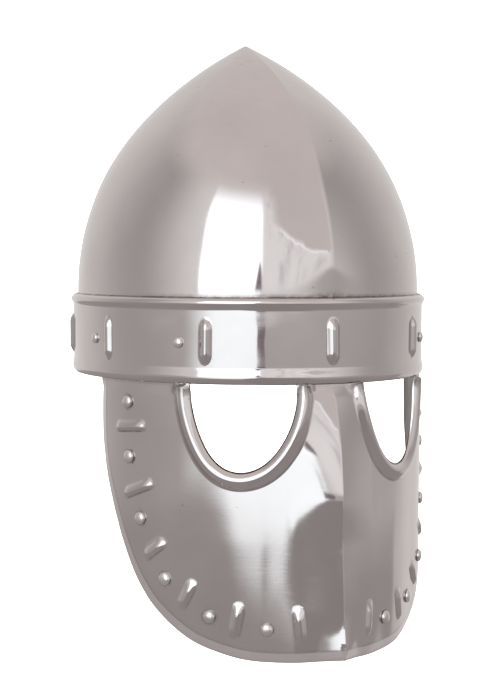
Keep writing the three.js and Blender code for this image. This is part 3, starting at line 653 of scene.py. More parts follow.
def plate_points(outline, eyes, ridges):
    """Flat points: rows that follow the edges, a grid between them, finer over each rib."""
    layers = [outline]
    for d in (0.6, 1.4, 2.4, 3.6, 4.8, 5.3, 5.8, 6.4, 7.4):
        layers.append(offset_line(outline, d, True))
    for loop in eyes:
        layers.append(loop)
        for d in (0.5, 1.1, 1.8, 2.6, 3.4, 4.1, 4.8, 5.6, 6.5, 7.4, 8.3, 9.1, 9.8, 10.6, 11.6):
            layers.append(offset_line(loop, d, True))
    rows = np.arange(-154, PLATE_TOP, 1.5)
    rows = np.concatenate([rows[rows < -6.5], np.arange(-6.4, 0.8, 0.6), rows[rows > 1]])
    cols = np.arange(-160, 160.1, 1.5)
    grid = np.stack(np.meshgrid(cols, rows), -1).reshape(-1, 2)
    grid = grid[np.abs(grid[:, 0]) > 1.0]
    spine_z = np.arange(-148.0, PLATE_TOP, 1.0)
    spine = np.vstack([np.stack([np.full_like(spine_z, s), spine_z], -1) for s in (-0.7, 0.0, 0.7)])
    patches = []
    far = np.full(len(grid), 1e9)
    for outer, inner in ridges:
        way = (inner - outer) / np.linalg.norm(inner - outer)
        cross = np.array([-way[1], way[0]])
        length = np.linalg.norm(inner - outer)
        along, across = np.meshgrid(np.arange(-1.6, length + 1.7, 0.8), np.arange(-4.2, 4.21, 0.6))
        patch = outer + along.reshape(-1, 1) * way + across.reshape(-1, 1) * cross
        patches.append(patch)
        far = np.minimum(far, distance_to(grid, np.array([outer, inner]), False))
    grid = grid[far > 4.8]
    grid = grid[distance_to(grid, outline, True) > 8.2]
    for loop in eyes:
        grid = grid[(distance_to(grid, loop, True) > 12.2)]
    patches = np.vstack(patches)
    patches = patches[distance_to(patches, outline, True) > 7.8]
    rings = np.vstack(layers[:10])
    rings_eye = np.vstack(layers[10:])
    rings_eye = rings_eye[distance_to(rings_eye, outline, True) > 0.8]
    spine = spine[distance_to(spine, outline, True) > 8.0]
    loose = np.vstack([rings_eye, grid, patches, spine])
    return np.vstack([outline, loose, rings[len(outline):]])


def plate_triangles(points, outline, eyes):
    """Joins the flat points into triangles and leaves the eye openings out."""
    edges = [(i, (i + 1) % len(outline)) for i in range(len(outline))]
    start = len(points)
    for loop in eyes:
        points = np.vstack([points, loop])
        edges += [(start + i, start + (i + 1) % len(loop)) for i in range(len(loop))]
        start += len(loop)
    made = delaunay_2d_cdt([Vector(p) for p in points.tolist()], edges, [], 0, 1e-3)
    flat = np.array([tuple(v) for v in made[0]])
    tris = np.array(made[2])
    middle = flat[tris].mean(axis=1)
    keep = inside(middle, outline)
    for loop in eyes:
        keep &= ~inside(middle, loop)
    tris = tris[keep]
    used = np.unique(tris)
    index = -np.ones(len(flat), int)
    index[used] = np.arange(len(used))
    flat = flat[used]
    tris = index[tris]
    a, b, c = (flat[tris[:, k]] for k in range(3))
    area = np.cross(b - a, c - a)
    tris[area < 0] = tris[area < 0][:, ::-1]
    return flat, tris


def make_plate():
    outline, eyes = plate_loops()
    ridges = plate_ridges()
    flat, tris = plate_triangles(plate_points(outline, eyes, ridges), outline, eyes)
    s, z = flat.T
    angle = angle_of(s)
    base = plate_point(angle, z)
    normal = plate_normal(angle, z)
    edge = distance_to(flat, outline, True)
    below = smooth(-0.2, -1.4, z)
    painted_shade_and_dirt = np.zeros(len(flat))
    # The hem: the sheet's edge turned over into a flat strip that leans back a little.
    hem = -0.75 * np.clip((5.6 - edge) / 5.6, 0, 1) - 0.35 * smooth(0.9, 0.0, edge)
    lean = hem * smooth(-0.4, -6.0, z)
    lift = np.zeros(len(flat))
    # Painted shade: a dark line along the inner step of the hem.
    painted_shade_and_dirt = np.maximum(painted_shade_and_dirt, 0.3 * np.exp(-((edge - 5.9) / 0.5) ** 2) * below)
    # Rolled rims of the eye openings.
    for loop in eyes:
        d = distance_to(flat, loop, True)
        rise = np.clip(d / 4.4, 0, 1)
        fall = np.clip((d - 4.4) / 5.4, 0, 1)
        rim = np.where(d < 4.4, 0.2 + 3.2 * np.sin(rise * math.pi / 2) ** 0.85,
                       3.4 * np.cos(fall * math.pi / 2) ** 1.25)
        rim = np.where(d > 9.8, 0, rim)
        lift = np.maximum(lift, rim * below)
        # Painted shade: a dark line round the outer foot of each eye rim.
        painted_shade_and_dirt = np.maximum(painted_shade_and_dirt, 0.3 * np.exp(-((d - 9.7) / 0.5) ** 2) * below)
        weld = smooth(12.5, 9.0, d) * smooth(-6.5, -1.5, z)
        lift = np.maximum(lift, weld * (1.1 + 0.5 * wobble(base, 1.6, 9)))
        # Dark weld marks at the rim tops, partly painted shade in the joint under the band.
        painted_shade_and_dirt = np.maximum(painted_shade_and_dirt, 0.5 * weld)
    for outer, inner in ridges:
        way = (inner - outer) / np.linalg.norm(inner - outer)
        cross = np.array([-way[1], way[0]])
        rel = flat - (outer + inner) / 2
        half = np.linalg.norm(inner - outer) / 2
        along, across = rel @ way, rel @ cross
        # The lower flank is steeper than the upper one, and the inner end dies away.
        upper = across * (1 if cross[1] > 0 else -1) + 0.7 * abs(cross[1])
        flank = np.where(upper > 0, 3.3 + 1.3 * abs(cross[1]), 3.3 - 1.1 * abs(cross[1]))
        rib = rib_height(upper * 3.3 / flank, along, 3.3, half + 0.6, 8.5)
        lift = np.maximum(lift, 1.9 * rib)
        # Painted shadow: a dark line under the lower flank of each rib, strongest where the rib runs
        # level.
        near = smooth(half, half - 5, np.abs(along + 2.0)) * (upper < 0)
        line = np.exp(-((np.abs(upper) - flank - 0.1) / 0.45) ** 2)
        painted_shade_and_dirt = np.maximum(painted_shade_and_dirt, (0.25 + 0.4 * abs(cross[1])) * line * near)
    for a, rz in PLATE_RIVETS:
        for side in (-1, 1):
            d = np.hypot(s - side * arc_of(a), z - rz)
            # Painted shadow: a dark ring round the foot of each rivet head.
            painted_shade_and_dirt = np.maximum(painted_shade_and_dirt, 0.75 * smooth(4.5, 3.8, d))
    # Painted shade: darker along the top, where the plate goes under the band.
    painted_shade_and_dirt = np.maximum(painted_shade_and_dirt, 0.25 * smooth(-2.0, -0.3, z))
    points3 = base + normal * (lift + lean)[:, None]
    wave = 0.3 * wobble(base, 46, 6) + 0.04 * wobble(base, 18, 7)
    wave *= smooth(-2.0, -14.0, z)
    points3 = points3 + normal * wave[:, None]
    inner = points3 - SHEET * normal
    plate = shell_object("face_plate_steel", points3, inner, [tuple(t) for t in tris.tolist()])
    set_mask(plate, "painted_shade_and_dirt", np.tile(painted_shade_and_dirt, 2))
    # Where the hem's painted sheen goes: a lighter colour in the steel material.
    set_mask(plate, "hem", np.tile(smooth(5.9, 5.1, edge) * smooth(-3, -10, z), 2))
    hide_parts("face_plate")
    return plate


# ---------------------------------------------------------------- rivets

BAND_RIVET_ANGLES = [46.5, 80.5, 115.5, 151]


def lathe(profile, sides):
    """Rings of (radius, height) points about +Z, closed on the axis at both ends."""
    verts = [(0, 0, profile[0][1])] + spun(profile[1:-1], sides) + [(0, 0, profile[-1][1])]
    rings = len(profile) - 2
    faces = [(0, 1 + k, 1 + (k + 1) % sides) for k in range(sides)]
    faces += ring_faces(rings, sides, first=1)
    last = 1 + (rings - 1) * sides
    faces += [(len(verts) - 1, last + (k + 1) % sides, last + k) for k in range(sides)]
    return np.array(verts, float), faces


def rivet_mesh(head, dome, grip, tail, seed):
    """Hammered domed head, shank and spread tail, with the head's foot at height zero."""
    profile = [(0, dome)]
    for turn in (12, 24, 36, 48, 60, 72, 82):
        r = head * math.sin(math.radians(turn))
        profile.append((r, dome * (0.12 + 0.88 * math.cos(math.radians(turn)) ** 0.8)))
    profile += [(head, 0.12 * dome), (head * 0.985, 0.0), (1.8, 0.0), (1.8, -grip)]
    profile += [(3.0, -grip), (3.1, -grip - 0.3), (2.4, -grip - tail), (0, -grip - tail)]
    verts, faces = lathe(profile, 28)
    top = verts[:, 2] > 0.05 * dome
    dents = wobble(verts + seed * 31.0, 2.6, 8)
    verts[top] *= (1 + 0.035 * dents[top])[:, None]
    return verts, faces


def place_rivet(name, cad_name, spot, direction, head, dome, grip, tail, seed):
    verts, faces = rivet_mesh(head, dome, grip, tail, seed)
    rivet = mesh_object(name, aimed(verts, direction, spot), faces)
    rivet.data.materials.append(RIVET)
    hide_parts(cad_name)
    return rivet


def make_rivets():
    for side, word in ((-1, "right"), (1, "left")):
        for i, angle in enumerate(BAND_RIVET_ANGLES):
            turn = math.radians(side * angle)
            out = np.array([math.sin(turn), -math.cos(turn) / RATIO, 0])
            stretch = np.linalg.norm(out)
            out /= stretch
            spot = wall(BAND_HALF, side * angle, 22.5) + out * 0.1
            grip = (BAND_HALF - LINER_INNER) / stretch + 0.4
            place_rivet(f"band_rivet_head_{word}_{i + 1}", f"band_rivet_{word}_{i + 1}",
                        spot, out, 3.0, 2.0, grip, 1.0, i + side)
        for i, (angle, z) in enumerate(PLATE_RIVETS):
            out = plate_normal(side * angle, z)
            spot = plate_point(side * angle, z) + out * 0.15
            place_rivet(f"face_rivet_head_{word}_{i + 1}", f"face_rivet_{word}_{i + 1}",
                        spot, out, 3.7, 2.45, SHEET + 0.5, 0.9, i + 9 * side)


# ---------------------------------------------------------------- leather, thread and brass

LINER_TONE = ((0.16, 0.078, 0.036), (0.28, 0.15, 0.075))
STRAP_TONE = ((0.045, 0.022, 0.013), (0.1, 0.05, 0.028))


def leather_material(name, dark, light, roughness):
    """Vegetable-tanned leather: mottled tone, pebbled grain, pores, fine creases, dark edges."""
    material, tree, shader = new_material(name, 0.0, roughness)
    plain = mapped(tree)
    mottle = noise_node(tree, plain, 28.0, 5.0, 0.6)
    colour = ramp(tree, mottle, [(0.32, dark), (0.68, light)])
    grain = add_node(tree, "ShaderNodeTexVoronoi", feature="DISTANCE_TO_EDGE", Scale=900.0)
    tree.links.new(plain, grain.inputs["Vector"])
    pebble = remap(tree, grain.outputs["Distance"], 0.0, 0.16, 0.0, 1.0)
    pores = noise_node(tree, plain, 1500.0, 2.0)
    creases = noise_node(tree, mapped(tree, (1, 1, 2.2)), 120.0, 6.0, 0.7)
    furrow = remap(tree, creases, 0.42, 0.5, 1.0, 0.0)
    colour = mix_colour(tree, times(tree, furrow, 0.28), colour, dark)
    edge = mask(tree, "edge")
    colour = mix_colour(tree, times(tree, edge, 0.75), colour, dark)
    tree.links.new(colour, shader.inputs["Base Color"])
    worn = noise_node(tree, plain, 60.0, 3.0)
    tree.links.new(remap(tree, worn, 0.3, 0.7, roughness - 0.1, roughness + 0.12),
                   shader.inputs["Roughness"])
    shader.inputs["Specular IOR Level"].default_value = 0.4
    bump(tree, shader, [(pebble, 0.35, 0.0002), (pores, 0.2, 0.0001), (creases, 0.35, 0.0004)])
    return material


def thread_material():
    material, tree, shader = new_material("waxed_thread", 0.0, 0.7)
    twist = add_node(tree, "ShaderNodeTexWave", Scale=420.0, Distortion=1.5)
    tree.links.new(mapped(tree), twist.inputs["Vector"])
    colour = ramp(tree, twist.outputs["Fac"], [(0.2, (0.3, 0.24, 0.16)), (0.8, (0.62, 0.54, 0.4))])
    tree.links.new(colour, shader.inputs["Base Color"])
    bump(tree, shader, [(twist.outputs["Fac"], 0.5, 0.0001)])
    return material


def brass_material():
    """Old brass: warm metal, browner patches where it has tarnished, fine scratches."""
    material, tree, shader = new_material("buckle_brass", 1.0, 0.28)
    plain = mapped(tree)
    tarnish = noise_node(tree, plain, 160.0, 5.0, 0.65)
    colour = ramp(tree, tarnish, [(0.35, (0.62, 0.43, 0.17)), (0.7, (0.3, 0.19, 0.075))])
    tree.links.new(colour, shader.inputs["Base Color"])
    tree.links.new(remap(tree, tarnish, 0.35, 0.7, 0.2, 0.48), shader.inputs["Roughness"])
    scratch = noise_node(tree, mapped(tree, (300, 300, 2500)), 1.0, 2.0)
    bump(tree, shader, [(scratch, 0.12, 0.00005), (tarnish, 0.2, 0.0001)])
    return material


LINER_LEATHER = leather_material("liner_leather", *LINER_TONE, 0.62)
STRAP_LEATHER = leather_material("strap_leather", *STRAP_TONE, 0.5)
THREAD = thread_material()
BRASS = brass_material()

# ---------------------------------------------------------------- building strips and tubes


def strip_section(half_width, thickness, steps):
    """Points round a strip's section: (across, depth) with rounded long edges."""
    r = thickness / 2
    flat = np.linspace(-(half_width - r), half_width - r, steps)
    turn = np.radians(np.linspace(90, -90, 7))[1:-1]
    right = np.stack([half_width - r + r * np.cos(turn), r * np.sin(turn)], -1)
    top = np.stack([flat, np.full(steps, r)], -1)
    return np.vstack([top, right, -top, -right])


def strip_object(name, widths, thicknesses, place, body, material, closed=False, steps=13):
    """A leather strip: place(i, across, depth) gives the points of its i-th section."""
    rings, edge = [], []
    for i, (half_width, thickness) in enumerate(zip(widths, thicknesses)):
        section = strip_section(half_width, thickness, steps)
        rings.append(place(i, section[:, 0], section[:, 1]))
        edge.append(smooth(1.6, 0.2, half_width - np.abs(section[:, 0])))
    sides, count = len(rings[0]), len(rings)
    faces = ring_faces(count, sides, closed)
    if not closed:
        faces.append(tuple(range(sides)))
        faces.append(tuple(reversed(range((count - 1) * sides, count * sides))))
    verts, faces = facing_out(np.vstack(rings), faces)
    obj = mesh_object(name, verts, faces, body)
    set_mask(obj, "edge", np.concatenate(edge))
    obj.data.materials.append(material)
    obj.data.set_sharp_from_angle(angle=math.radians(60))
    return obj


def facing_out(verts, faces):
    """Turns all the faces over if the closed mesh they make is inside out."""
    volume = 0.0
    for face in faces:
        a = verts[face[0]]
        for i in range(1, len(face) - 1):
            volume += float(np.dot(a, np.cross(verts[face[i]], verts[face[i + 1]])))
    if volume < 0:
        faces = [tuple(reversed(face)) for face in faces]
    return verts, faces


def tube(path, radii, sides, closed):
    """Points and faces of a round tube along a line of points."""
    path = np.asarray(path, float)
    radii = np.broadcast_to(radii, len(path))
    if closed:
        way = np.roll(path, -1, axis=0) - np.roll(path, 1, axis=0)
    else:
        way = np.gradient(path, axis=0)
    way = unit(way)
    side = UP if abs(way[0][2]) < 0.9 else np.array([1.0, 0.0, 0.0])
    verts = []
    turn = 2 * math.pi * np.arange(sides) / sides
    for p, w, r in zip(path, way, radii):
        side = side - w * (side @ w)
        side /= np.linalg.norm(side)
        other = np.cross(w, side)
        verts.append(p + r * (np.cos(turn)[:, None] * side + np.sin(turn)[:, None] * other))
    verts = np.vstack(verts)
    count = len(path)
    faces = ring_faces(count, sides, closed, turned=True)
    if not closed:
        faces.append(tuple(reversed(range(sides))))
        faces.append(tuple(range((count - 1) * sides, count * sides)))
    return verts, faces


def rounded_ends(path, radius):
    """Radii along a path that make its ends round."""
    along = along_line(path)
    near = np.minimum(along, along[-1] - along)
    inner = np.clip(near / radius, 0.12, 1.0)
    return radius * np.sqrt(1 - (1 - inner) ** 2)


def join(parts):
    verts, faces, shift = [], [], 0
    for v, f in parts:
        verts.append(v)
        faces += [tuple(i + shift for i in face) for face in f]
        shift += len(v)
    return np.vstack(verts), faces


def stitches(name, spots, ways, outs, body, length=3.4, radius=0.42):
    """A row of short arched stitches, one at each spot."""
    parts = []
    for spot, way, out in zip(spots, ways, outs):
        u = np.linspace(-0.5, 0.5, 6)
        arch = 0.34 * (1 - (2 * u) ** 2) - 0.16
        path = spot + np.outer(u * length, way) + np.outer(arch, out)
        parts.append(tube(path, radius * np.array([0.55, 1, 1.05, 1.05, 1, 0.55]), 6, False))
    obj = mesh_object(name, *join(parts), body)
    obj.data.materials.append(THREAD)
    return obj


# ---------------------------------------------------------------- liner

LEAF_COUNT = 8
LEAF_LINE = [
    (96.3, 27), (96.1, 44), (91.5, 66), (82, 86), (65, 103), (44, 113), (25, 117), (17, 114.5),
]
LEAF_THICKNESS = 1.8
LEAF_HALF_ANGLE = 20.5
LACE_RING = 19.5
LACE_RADIUS = 1.3
HEADBAND_MIDDLE = (LINER_OUTER + LINER_INNER) / 2
HEADBAND_LOW, HEADBAND_HIGH = 4.0, 40.0


def out_at(angle):
    """Unit vector squarely out of the helmet's wall at an angle."""
    turn = np.radians(angle)
    out = np.stack([np.sin(turn), -np.cos(turn) / RATIO, np.zeros_like(turn)], -1)
    return unit(out)


def make_headband():
    angles = np.linspace(0, 360, 240, endpoint=False)
    middle = (HEADBAND_LOW + HEADBAND_HIGH) / 2
    half = (HEADBAND_HIGH - HEADBAND_LOW) / 2
    ripple = 0.35 * np.sin(np.radians(angles * 7)) + 0.25 * np.sin(np.radians(angles * 17))

    def place(i, across, depth):
        turn = np.full(len(across), angles[i])
        height = middle + across + ripple[i] * across / half
        return wall(HEADBAND_MIDDLE, turn, height) + out_at(turn) * depth[:, None]

    band = strip_object("liner_headband_leather", np.full(240, half), np.full(240, 1.9), place,
                        "helmet", LINER_LEATHER, True, 15)
    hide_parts("liner_headband")
    # A stitched lower edge, except where the swung chin straps lie against it.
    turns = np.arange(0, 360, 2.9)
    from_side = np.abs(np.abs((turns + 180) % 360 - 180) - 79)
    turns = turns[from_side > 9]
    spots = wall(LINER_INNER, turns, HEADBAND_LOW + 3.2) - out_at(turns) * 0.05
    ways = np.cross(out_at(turns), UP)
    stitches("headband_stitches", spots, ways, -out_at(turns), "helmet")


def leaf_line():
    line = curve_through(LEAF_LINE, 10)
    return line, unit(np.gradient(line, axis=0))


def make_leaf(n):
    middle = 360 * (n + 0.5) / LEAF_COUNT
    line, way = leaf_line()
    share = np.linspace(0, 1, len(line))
    half_angle = LEAF_HALF_ANGLE * (1 - 0.42 * share ** 3)
    stretch = math.hypot(math.cos(math.radians(middle)), RATIO * math.sin(math.radians(middle)))
    widths = np.radians(half_angle) * line[:, 0] * stretch
    end = np.linspace(0, 1, 5)[::-1]
    widths[-5:] *= np.sqrt(1 - (1 - np.maximum(end, 0.3)) ** 2 * 0.9)
    widths[:3] *= [0.965, 0.985, 0.995]
    thick = np.full(len(line), LEAF_THICKNESS)
    thick[-1] = 1.0
    thick[0] = 1.0
    lean = 0.8 * math.sin(2.3 * n + 0.5)

    def place(i, across, depth):
        rho, z = line[i]
        angle = middle + np.degrees(across / (rho * stretch)) + lean * share[i] ** 2
        # Leather sags a little between its edges and curls where it is gathered.
        sag = 0.9 * math.sin(math.pi * share[i]) * np.cos(np.clip(across / widths[i], -1, 1) * 1.57)
        sag = sag + 0.5 * np.sin(across / 9.0 + 1.7 * n) * share[i] * (1 - share[i]) * 2
        off = depth - sag - LEAF_THICKNESS / 2
        return wall(rho + off * way[i][1], angle, z - off * way[i][0])

    leaf = strip_object(f"liner_leaf_leather_{n + 1}", widths, thick, place, "helmet", LINER_LEATHER)
    punch_hole(leaf, wall(LACE_RING + 1.0, middle + lean, 115.4), (0, 0, 1), 2.1)
    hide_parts(f"liner_leaf_{n + 1}")
    turns = middle + np.linspace(-LEAF_HALF_ANGLE + 2, LEAF_HALF_ANGLE - 2, 13)
    spots = wall(96.3 - LEAF_THICKNESS, turns, 33.5) + out_at(turns) * 0.2
    ways = np.cross(out_at(turns), UP)
    stitches(f"leaf_stitches_{n + 1}", spots, ways, -out_at(turns), "helmet")


def punch_hole(obj, spot, direction, radius):
    """Cuts a round hole right through a piece."""
    direction = np.array(direction, float)
    path = np.array([spot - 6 * direction, spot + 6 * direction])
    verts, faces = tube(path, radius, 20, False)
    cut_away(obj, verts, faces)


def cut_away(obj, verts, faces):
    mesh = bpy.data.meshes.new("cutter")
    mesh.from_pydata((verts * MM).tolist(), [], faces)
    cutter = bpy.data.objects.new("cutter", mesh)
    bpy.context.scene.collection.objects.link(cutter)
    boolean = obj.modifiers.new("cut", "BOOLEAN")
    boolean.object = cutter
    boolean.operation = "DIFFERENCE"
    boolean.solver = "EXACT"
    graph = bpy.context.evaluated_depsgraph_get()
    made = bpy.data.meshes.new_from_object(obj.evaluated_get(graph))
    obj.modifiers.remove(boolean)
    obj.data = made
    bpy.data.objects.remove(cutter)


def make_lace():
    turn = np.linspace(0, 2 * math.pi, 192, endpoint=False)
    first = math.radians(180 / LEAF_COUNT)
    weave = np.sin(LEAF_COUNT / 2 * (turn - first))
    rho = LACE_RING + 0.9 * np.sin(3 * turn + 0.6)
    path = wall(rho, np.degrees(turn), 114.6 + 2.9 * weave - 0.5 * np.cos(turn))
    ring = mesh_object("crown_lace_ring", *tube(path, LACE_RADIUS, 10, True))
    # A plain overhand knot under the ring, with two short ends.
    k = np.linspace(0, 2 * math.pi, 72, endpoint=False)
    knot = np.stack([
        3.0 * (np.sin(k) + 1.6 * np.sin(2 * k)) * 0.42,
        3.0 * (np.cos(k) - 1.6 * np.cos(2 * k)) * 0.42,
        -1.3 * np.sin(3 * k),
    ], -1) + wall(LACE_RING - 0.5, 90, 109.6)
    parts = [tube(knot, LACE_RADIUS, 10, True)]
    for sway, drop in ((-1, 12.0), (1, 9.0)):
        u = np.linspace(0, 1, 14)
        tail = np.stack([
            LACE_RING - 1.5 - 3.0 * u + 0.8 * np.sin(4 * u),
            sway * (1.0 + 4.5 * u ** 1.3),
            109.0 - drop * u,
        ], -1)
        parts.append(tube(tail, rounded_ends(tail, LACE_RADIUS), 10, False))
    verts, faces = join(parts)
    tie = mesh_object("crown_lace_knot", verts, faces)
    for piece in (ring, tie):
        set_mask(piece, "edge", np.zeros(len(piece.data.vertices)))
        piece.data.materials.append(STRAP_LEATHER)
    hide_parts("crown_lace")


# ---------------------------------------------------------------- chin strap

STRAP_MIDDLE = 93.8
STRAP_THICKNESS = 2.2
STRAP_HALF_HEIGHT = 10.0
PIVOT_ANGLE = 86.9
PIVOT_Z = 13.0
LONG_STRAP = 203.0
SHORT_STRAP = 96.0
HOLE_COUNT = 5
HOLE_STEP = 14.0
LAST_HOLE = 28.0
TIP_LENGTH = 14.0
# How far the sections of a strap's rounded end lie behind its rivet.
END_BACK = STRAP_HALF_HEIGHT * np.cos(np.radians([6, 18, 30, 45, 60, 75]))
TIP_SHARES = np.array([0.8, 0.6, 0.42, 0.26, 0.14, 0.06, 0.0])  # of the tip's length, still to go
STRAP_TURNS, STRAP_ARCS = arc_table(STRAP_MIDDLE)
PIVOT_ARC = float(np.interp(PIVOT_ANGLE, STRAP_TURNS, STRAP_ARCS))


def strap_angle(side, distance):
    """Angle reached by walking back from a strap's rivet along the inside of the liner."""
    return side * np.interp(PIVOT_ARC + np.asarray(distance, float), STRAP_ARCS, STRAP_TURNS)


def strap_spot(side, distance, height=PIVOT_Z):
    return wall(STRAP_MIDDLE, strap_angle(side, distance), height)


def pivot_end(distance):
    """Half height of a strap's rounded end round its rivet."""
    back = np.clip(-distance, 0, STRAP_HALF_HEIGHT * 0.995)
    return np.sqrt(STRAP_HALF_HEIGHT ** 2 - back ** 2)


def strap_rows(name, side, start, end, body):
    """Stitches along both edges of a strap, on the face that looks into the helmet."""
    distances = np.arange(start, end, 4.7)
    turns = strap_angle(side, distances)
    for word, up in (("low", -1), ("high", 1)):
        spots = wall(STRAP_MIDDLE, turns, PIVOT_Z + up * 7.6)
        spots = spots - out_at(turns) * (STRAP_THICKNESS / 2 - 0.08)
        ways = np.cross(out_at(turns), UP)
        stitches(f"{name}_{word}", spots, ways, -out_at(turns), body)


def make_long_strap():
    straight = np.linspace(0, LONG_STRAP - TIP_LENGTH, 96)
    distances = np.concatenate([-END_BACK, straight, LONG_STRAP - TIP_LENGTH * TIP_SHARES])
    left = np.clip((LONG_STRAP - distances) / TIP_LENGTH, 0, 1)
    taper = STRAP_HALF_HEIGHT * (0.26 + 0.74 * np.sqrt(1 - (1 - left) ** 2))
    widths = np.maximum(np.minimum(pivot_end(distances), taper), 1.4)
    thick = np.full(len(distances), STRAP_THICKNESS)
    thick[[0, -1]] = 1.4
    turns = strap_angle(1, distances)
    wave = 0.25 * np.sin(distances / 21.0)

    def place(i, across, depth):
        turn = np.full(len(across), turns[i])
        spot = wall(STRAP_MIDDLE, turn, PIVOT_Z + across)
        return spot + out_at(turn) * (depth + wave[i] * (across / STRAP_HALF_HEIGHT) ** 2)[:, None]

    strap = strip_object("chin_strap_long_leather", widths, thick, place, "long_strap", STRAP_LEATHER)
    for i in range(HOLE_COUNT):
        distance = LONG_STRAP - LAST_HOLE - i * HOLE_STEP
        turn = strap_angle(1, distance)
        punch_hole(strap, strap_spot(1, distance), out_at(np.array(turn)), 1.8)
    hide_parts("chin_strap_long")
    strap_rows("long_strap_stitches", 1, 12, LONG_STRAP - TIP_LENGTH - 2, "long_strap")


BAR_INSET = 0.6
FOLD_RADIUS = 2.65
PRONG_SLOT = 3.4
BUCKLE_LENGTH = 24.0
BUCKLE_HALF_HEIGHT = 12.6
BUCKLE_CORNER = 5.6
BUCKLE_WIRE = 1.5
PRONG_RADIUS = 1.1


def buckle_axes():
    """The bar's middle, and unit vectors out of the helmet and on along the strap."""
    spot = strap_spot(-1, SHORT_STRAP)
    along = strap_spot(-1, SHORT_STRAP + BUCKLE_LENGTH) - spot
    along /= np.linalg.norm(along)
    out = np.cross(along, UP)
    if out @ out_at(np.array(strap_angle(-1, SHORT_STRAP))) < 0:
        out = -out
    return spot - out * BAR_INSET, out, along


def fold_line():
    """Plan of the short strap: out to the bar, round it, and back on the inner side."""
    bar, out, along = buckle_axes()
    points, thick = [], []
    for distance in np.concatenate([-END_BACK, np.linspace(0, SHORT_STRAP - 2, 44)]):
        shift = 1.85 * smooth(SHORT_STRAP - 16, SHORT_STRAP - 2, distance)
        turn = strap_angle(-1, distance)
        points.append(strap_spot(-1, distance) + out_at(np.array(turn)) * shift)
        thick.append(STRAP_THICKNESS - 0.8 * smooth(SHORT_STRAP - 18, SHORT_STRAP - 4, distance))
    for turn in np.radians(np.arange(0, 181, 15)):
        points.append(bar + FOLD_RADIUS * (math.cos(turn) * out + math.sin(turn) * along))
        thick.append(1.4)
    for distance in np.linspace(SHORT_STRAP - 2, SHORT_STRAP - 30, 14):
        shift = 1.95 + 1.25 * smooth(SHORT_STRAP - 10, SHORT_STRAP - 1, distance)
        turn = strap_angle(-1, distance)
        points.append(strap_spot(-1, distance) - out_at(np.array(turn)) * shift)
        thick.append(1.4)
    return np.array(points), np.array(thick)


def make_short_strap():
    line, thick = fold_line()
    across_way = np.cross(UP, unit(np.gradient(line, axis=0)))
    widths = np.full(len(line), STRAP_HALF_HEIGHT)
    widths[:len(END_BACK)] = pivot_end(-END_BACK)
    widths = np.maximum(widths, 1.4)
    thick[0] = 1.4
    thick[-1] = 0.8

    def place(i, across, depth):
        return line[i] + np.outer(across, UP) + np.outer(depth, across_way[i])

    strap = strip_object("chin_strap_short_leather", widths, thick, place, "short_strap", STRAP_LEATHER)
    bar, out, along = buckle_axes()
    # The slot that the prong turns in, cut as a box through the fold.
    box = []
    for x in (-5.5, 5.5):
        for y in (-7.2, 5.0):
            for z in (-PRONG_SLOT, PRONG_SLOT):
                box.append(bar + x * out + y * along + z * UP)
    faces = [(0, 1, 3, 2), (4, 6, 7, 5), (0, 4, 5, 1), (2, 3, 7, 6), (0, 2, 6, 4), (1, 5, 7, 3)]
    verts, faces = facing_out(np.array(box), faces)
    cut_away(strap, verts, faces)
    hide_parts("chin_strap_short")
    strap_rows("short_strap_stitches", -1, 12, SHORT_STRAP - 34, "short_strap")
    # Two upright rows that close the fold behind the bar.
    for row, distance in enumerate((SHORT_STRAP - 9.5, SHORT_STRAP - 28)):
        heights = PIVOT_Z + np.linspace(-7.6, 7.6, 4)
        turn = strap_angle(-1, np.full(4, distance))
        spots = wall(STRAP_MIDDLE, turn, heights) - out_at(turn) * (2.72 + 0.1 * row)
        ways = np.tile([0, 0, 1.0], (4, 1))
        stitches(f"fold_stitches_{row + 1}", spots, ways, -out_at(turn), "short_strap")


def make_keeper():
    """A narrow leather loop round the short strap and the end of its fold."""
    middle = SHORT_STRAP - 22.0
    turn = np.array(strap_angle(-1, middle))
    out = out_at(turn)
    spot = strap_spot(-1, middle)
    way = np.cross(out, UP)
    high = STRAP_HALF_HEIGHT + 1.0
    outer, inner, corner = STRAP_THICKNESS / 2 + 0.8, STRAP_THICKNESS / 2 + 3.0, 1.3
    path = []
    corners = ((outer, high, 0), (-inner, high, 90), (-inner, -high, 180), (outer, -high, 270))
    for cx, cz, first in corners:
        px = cx - math.copysign(corner, cx)
        pz = cz - math.copysign(corner, cz)
        for a in np.radians(first + np.arange(0, 91, 18)):
            path.append((px + corner * math.cos(a), pz + corner * math.sin(a)))
    path = resample(path, 1.0, True)
    tangent = unit(np.roll(path, -1, axis=0) - np.roll(path, 1, axis=0))

    def place(i, across, depth):
        x = path[i][0] + depth * tangent[i][1]
        z = path[i][1] - depth * tangent[i][0]
        return spot + np.outer(x, out) + np.outer(z, UP) + np.outer(across, way)

    loop = strip_object("strap_keeper_leather", np.full(len(path), 4.0), np.full(len(path), 1.1), place,
                        "short_strap", STRAP_LEATHER, True, 7)
    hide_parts("strap_keeper")


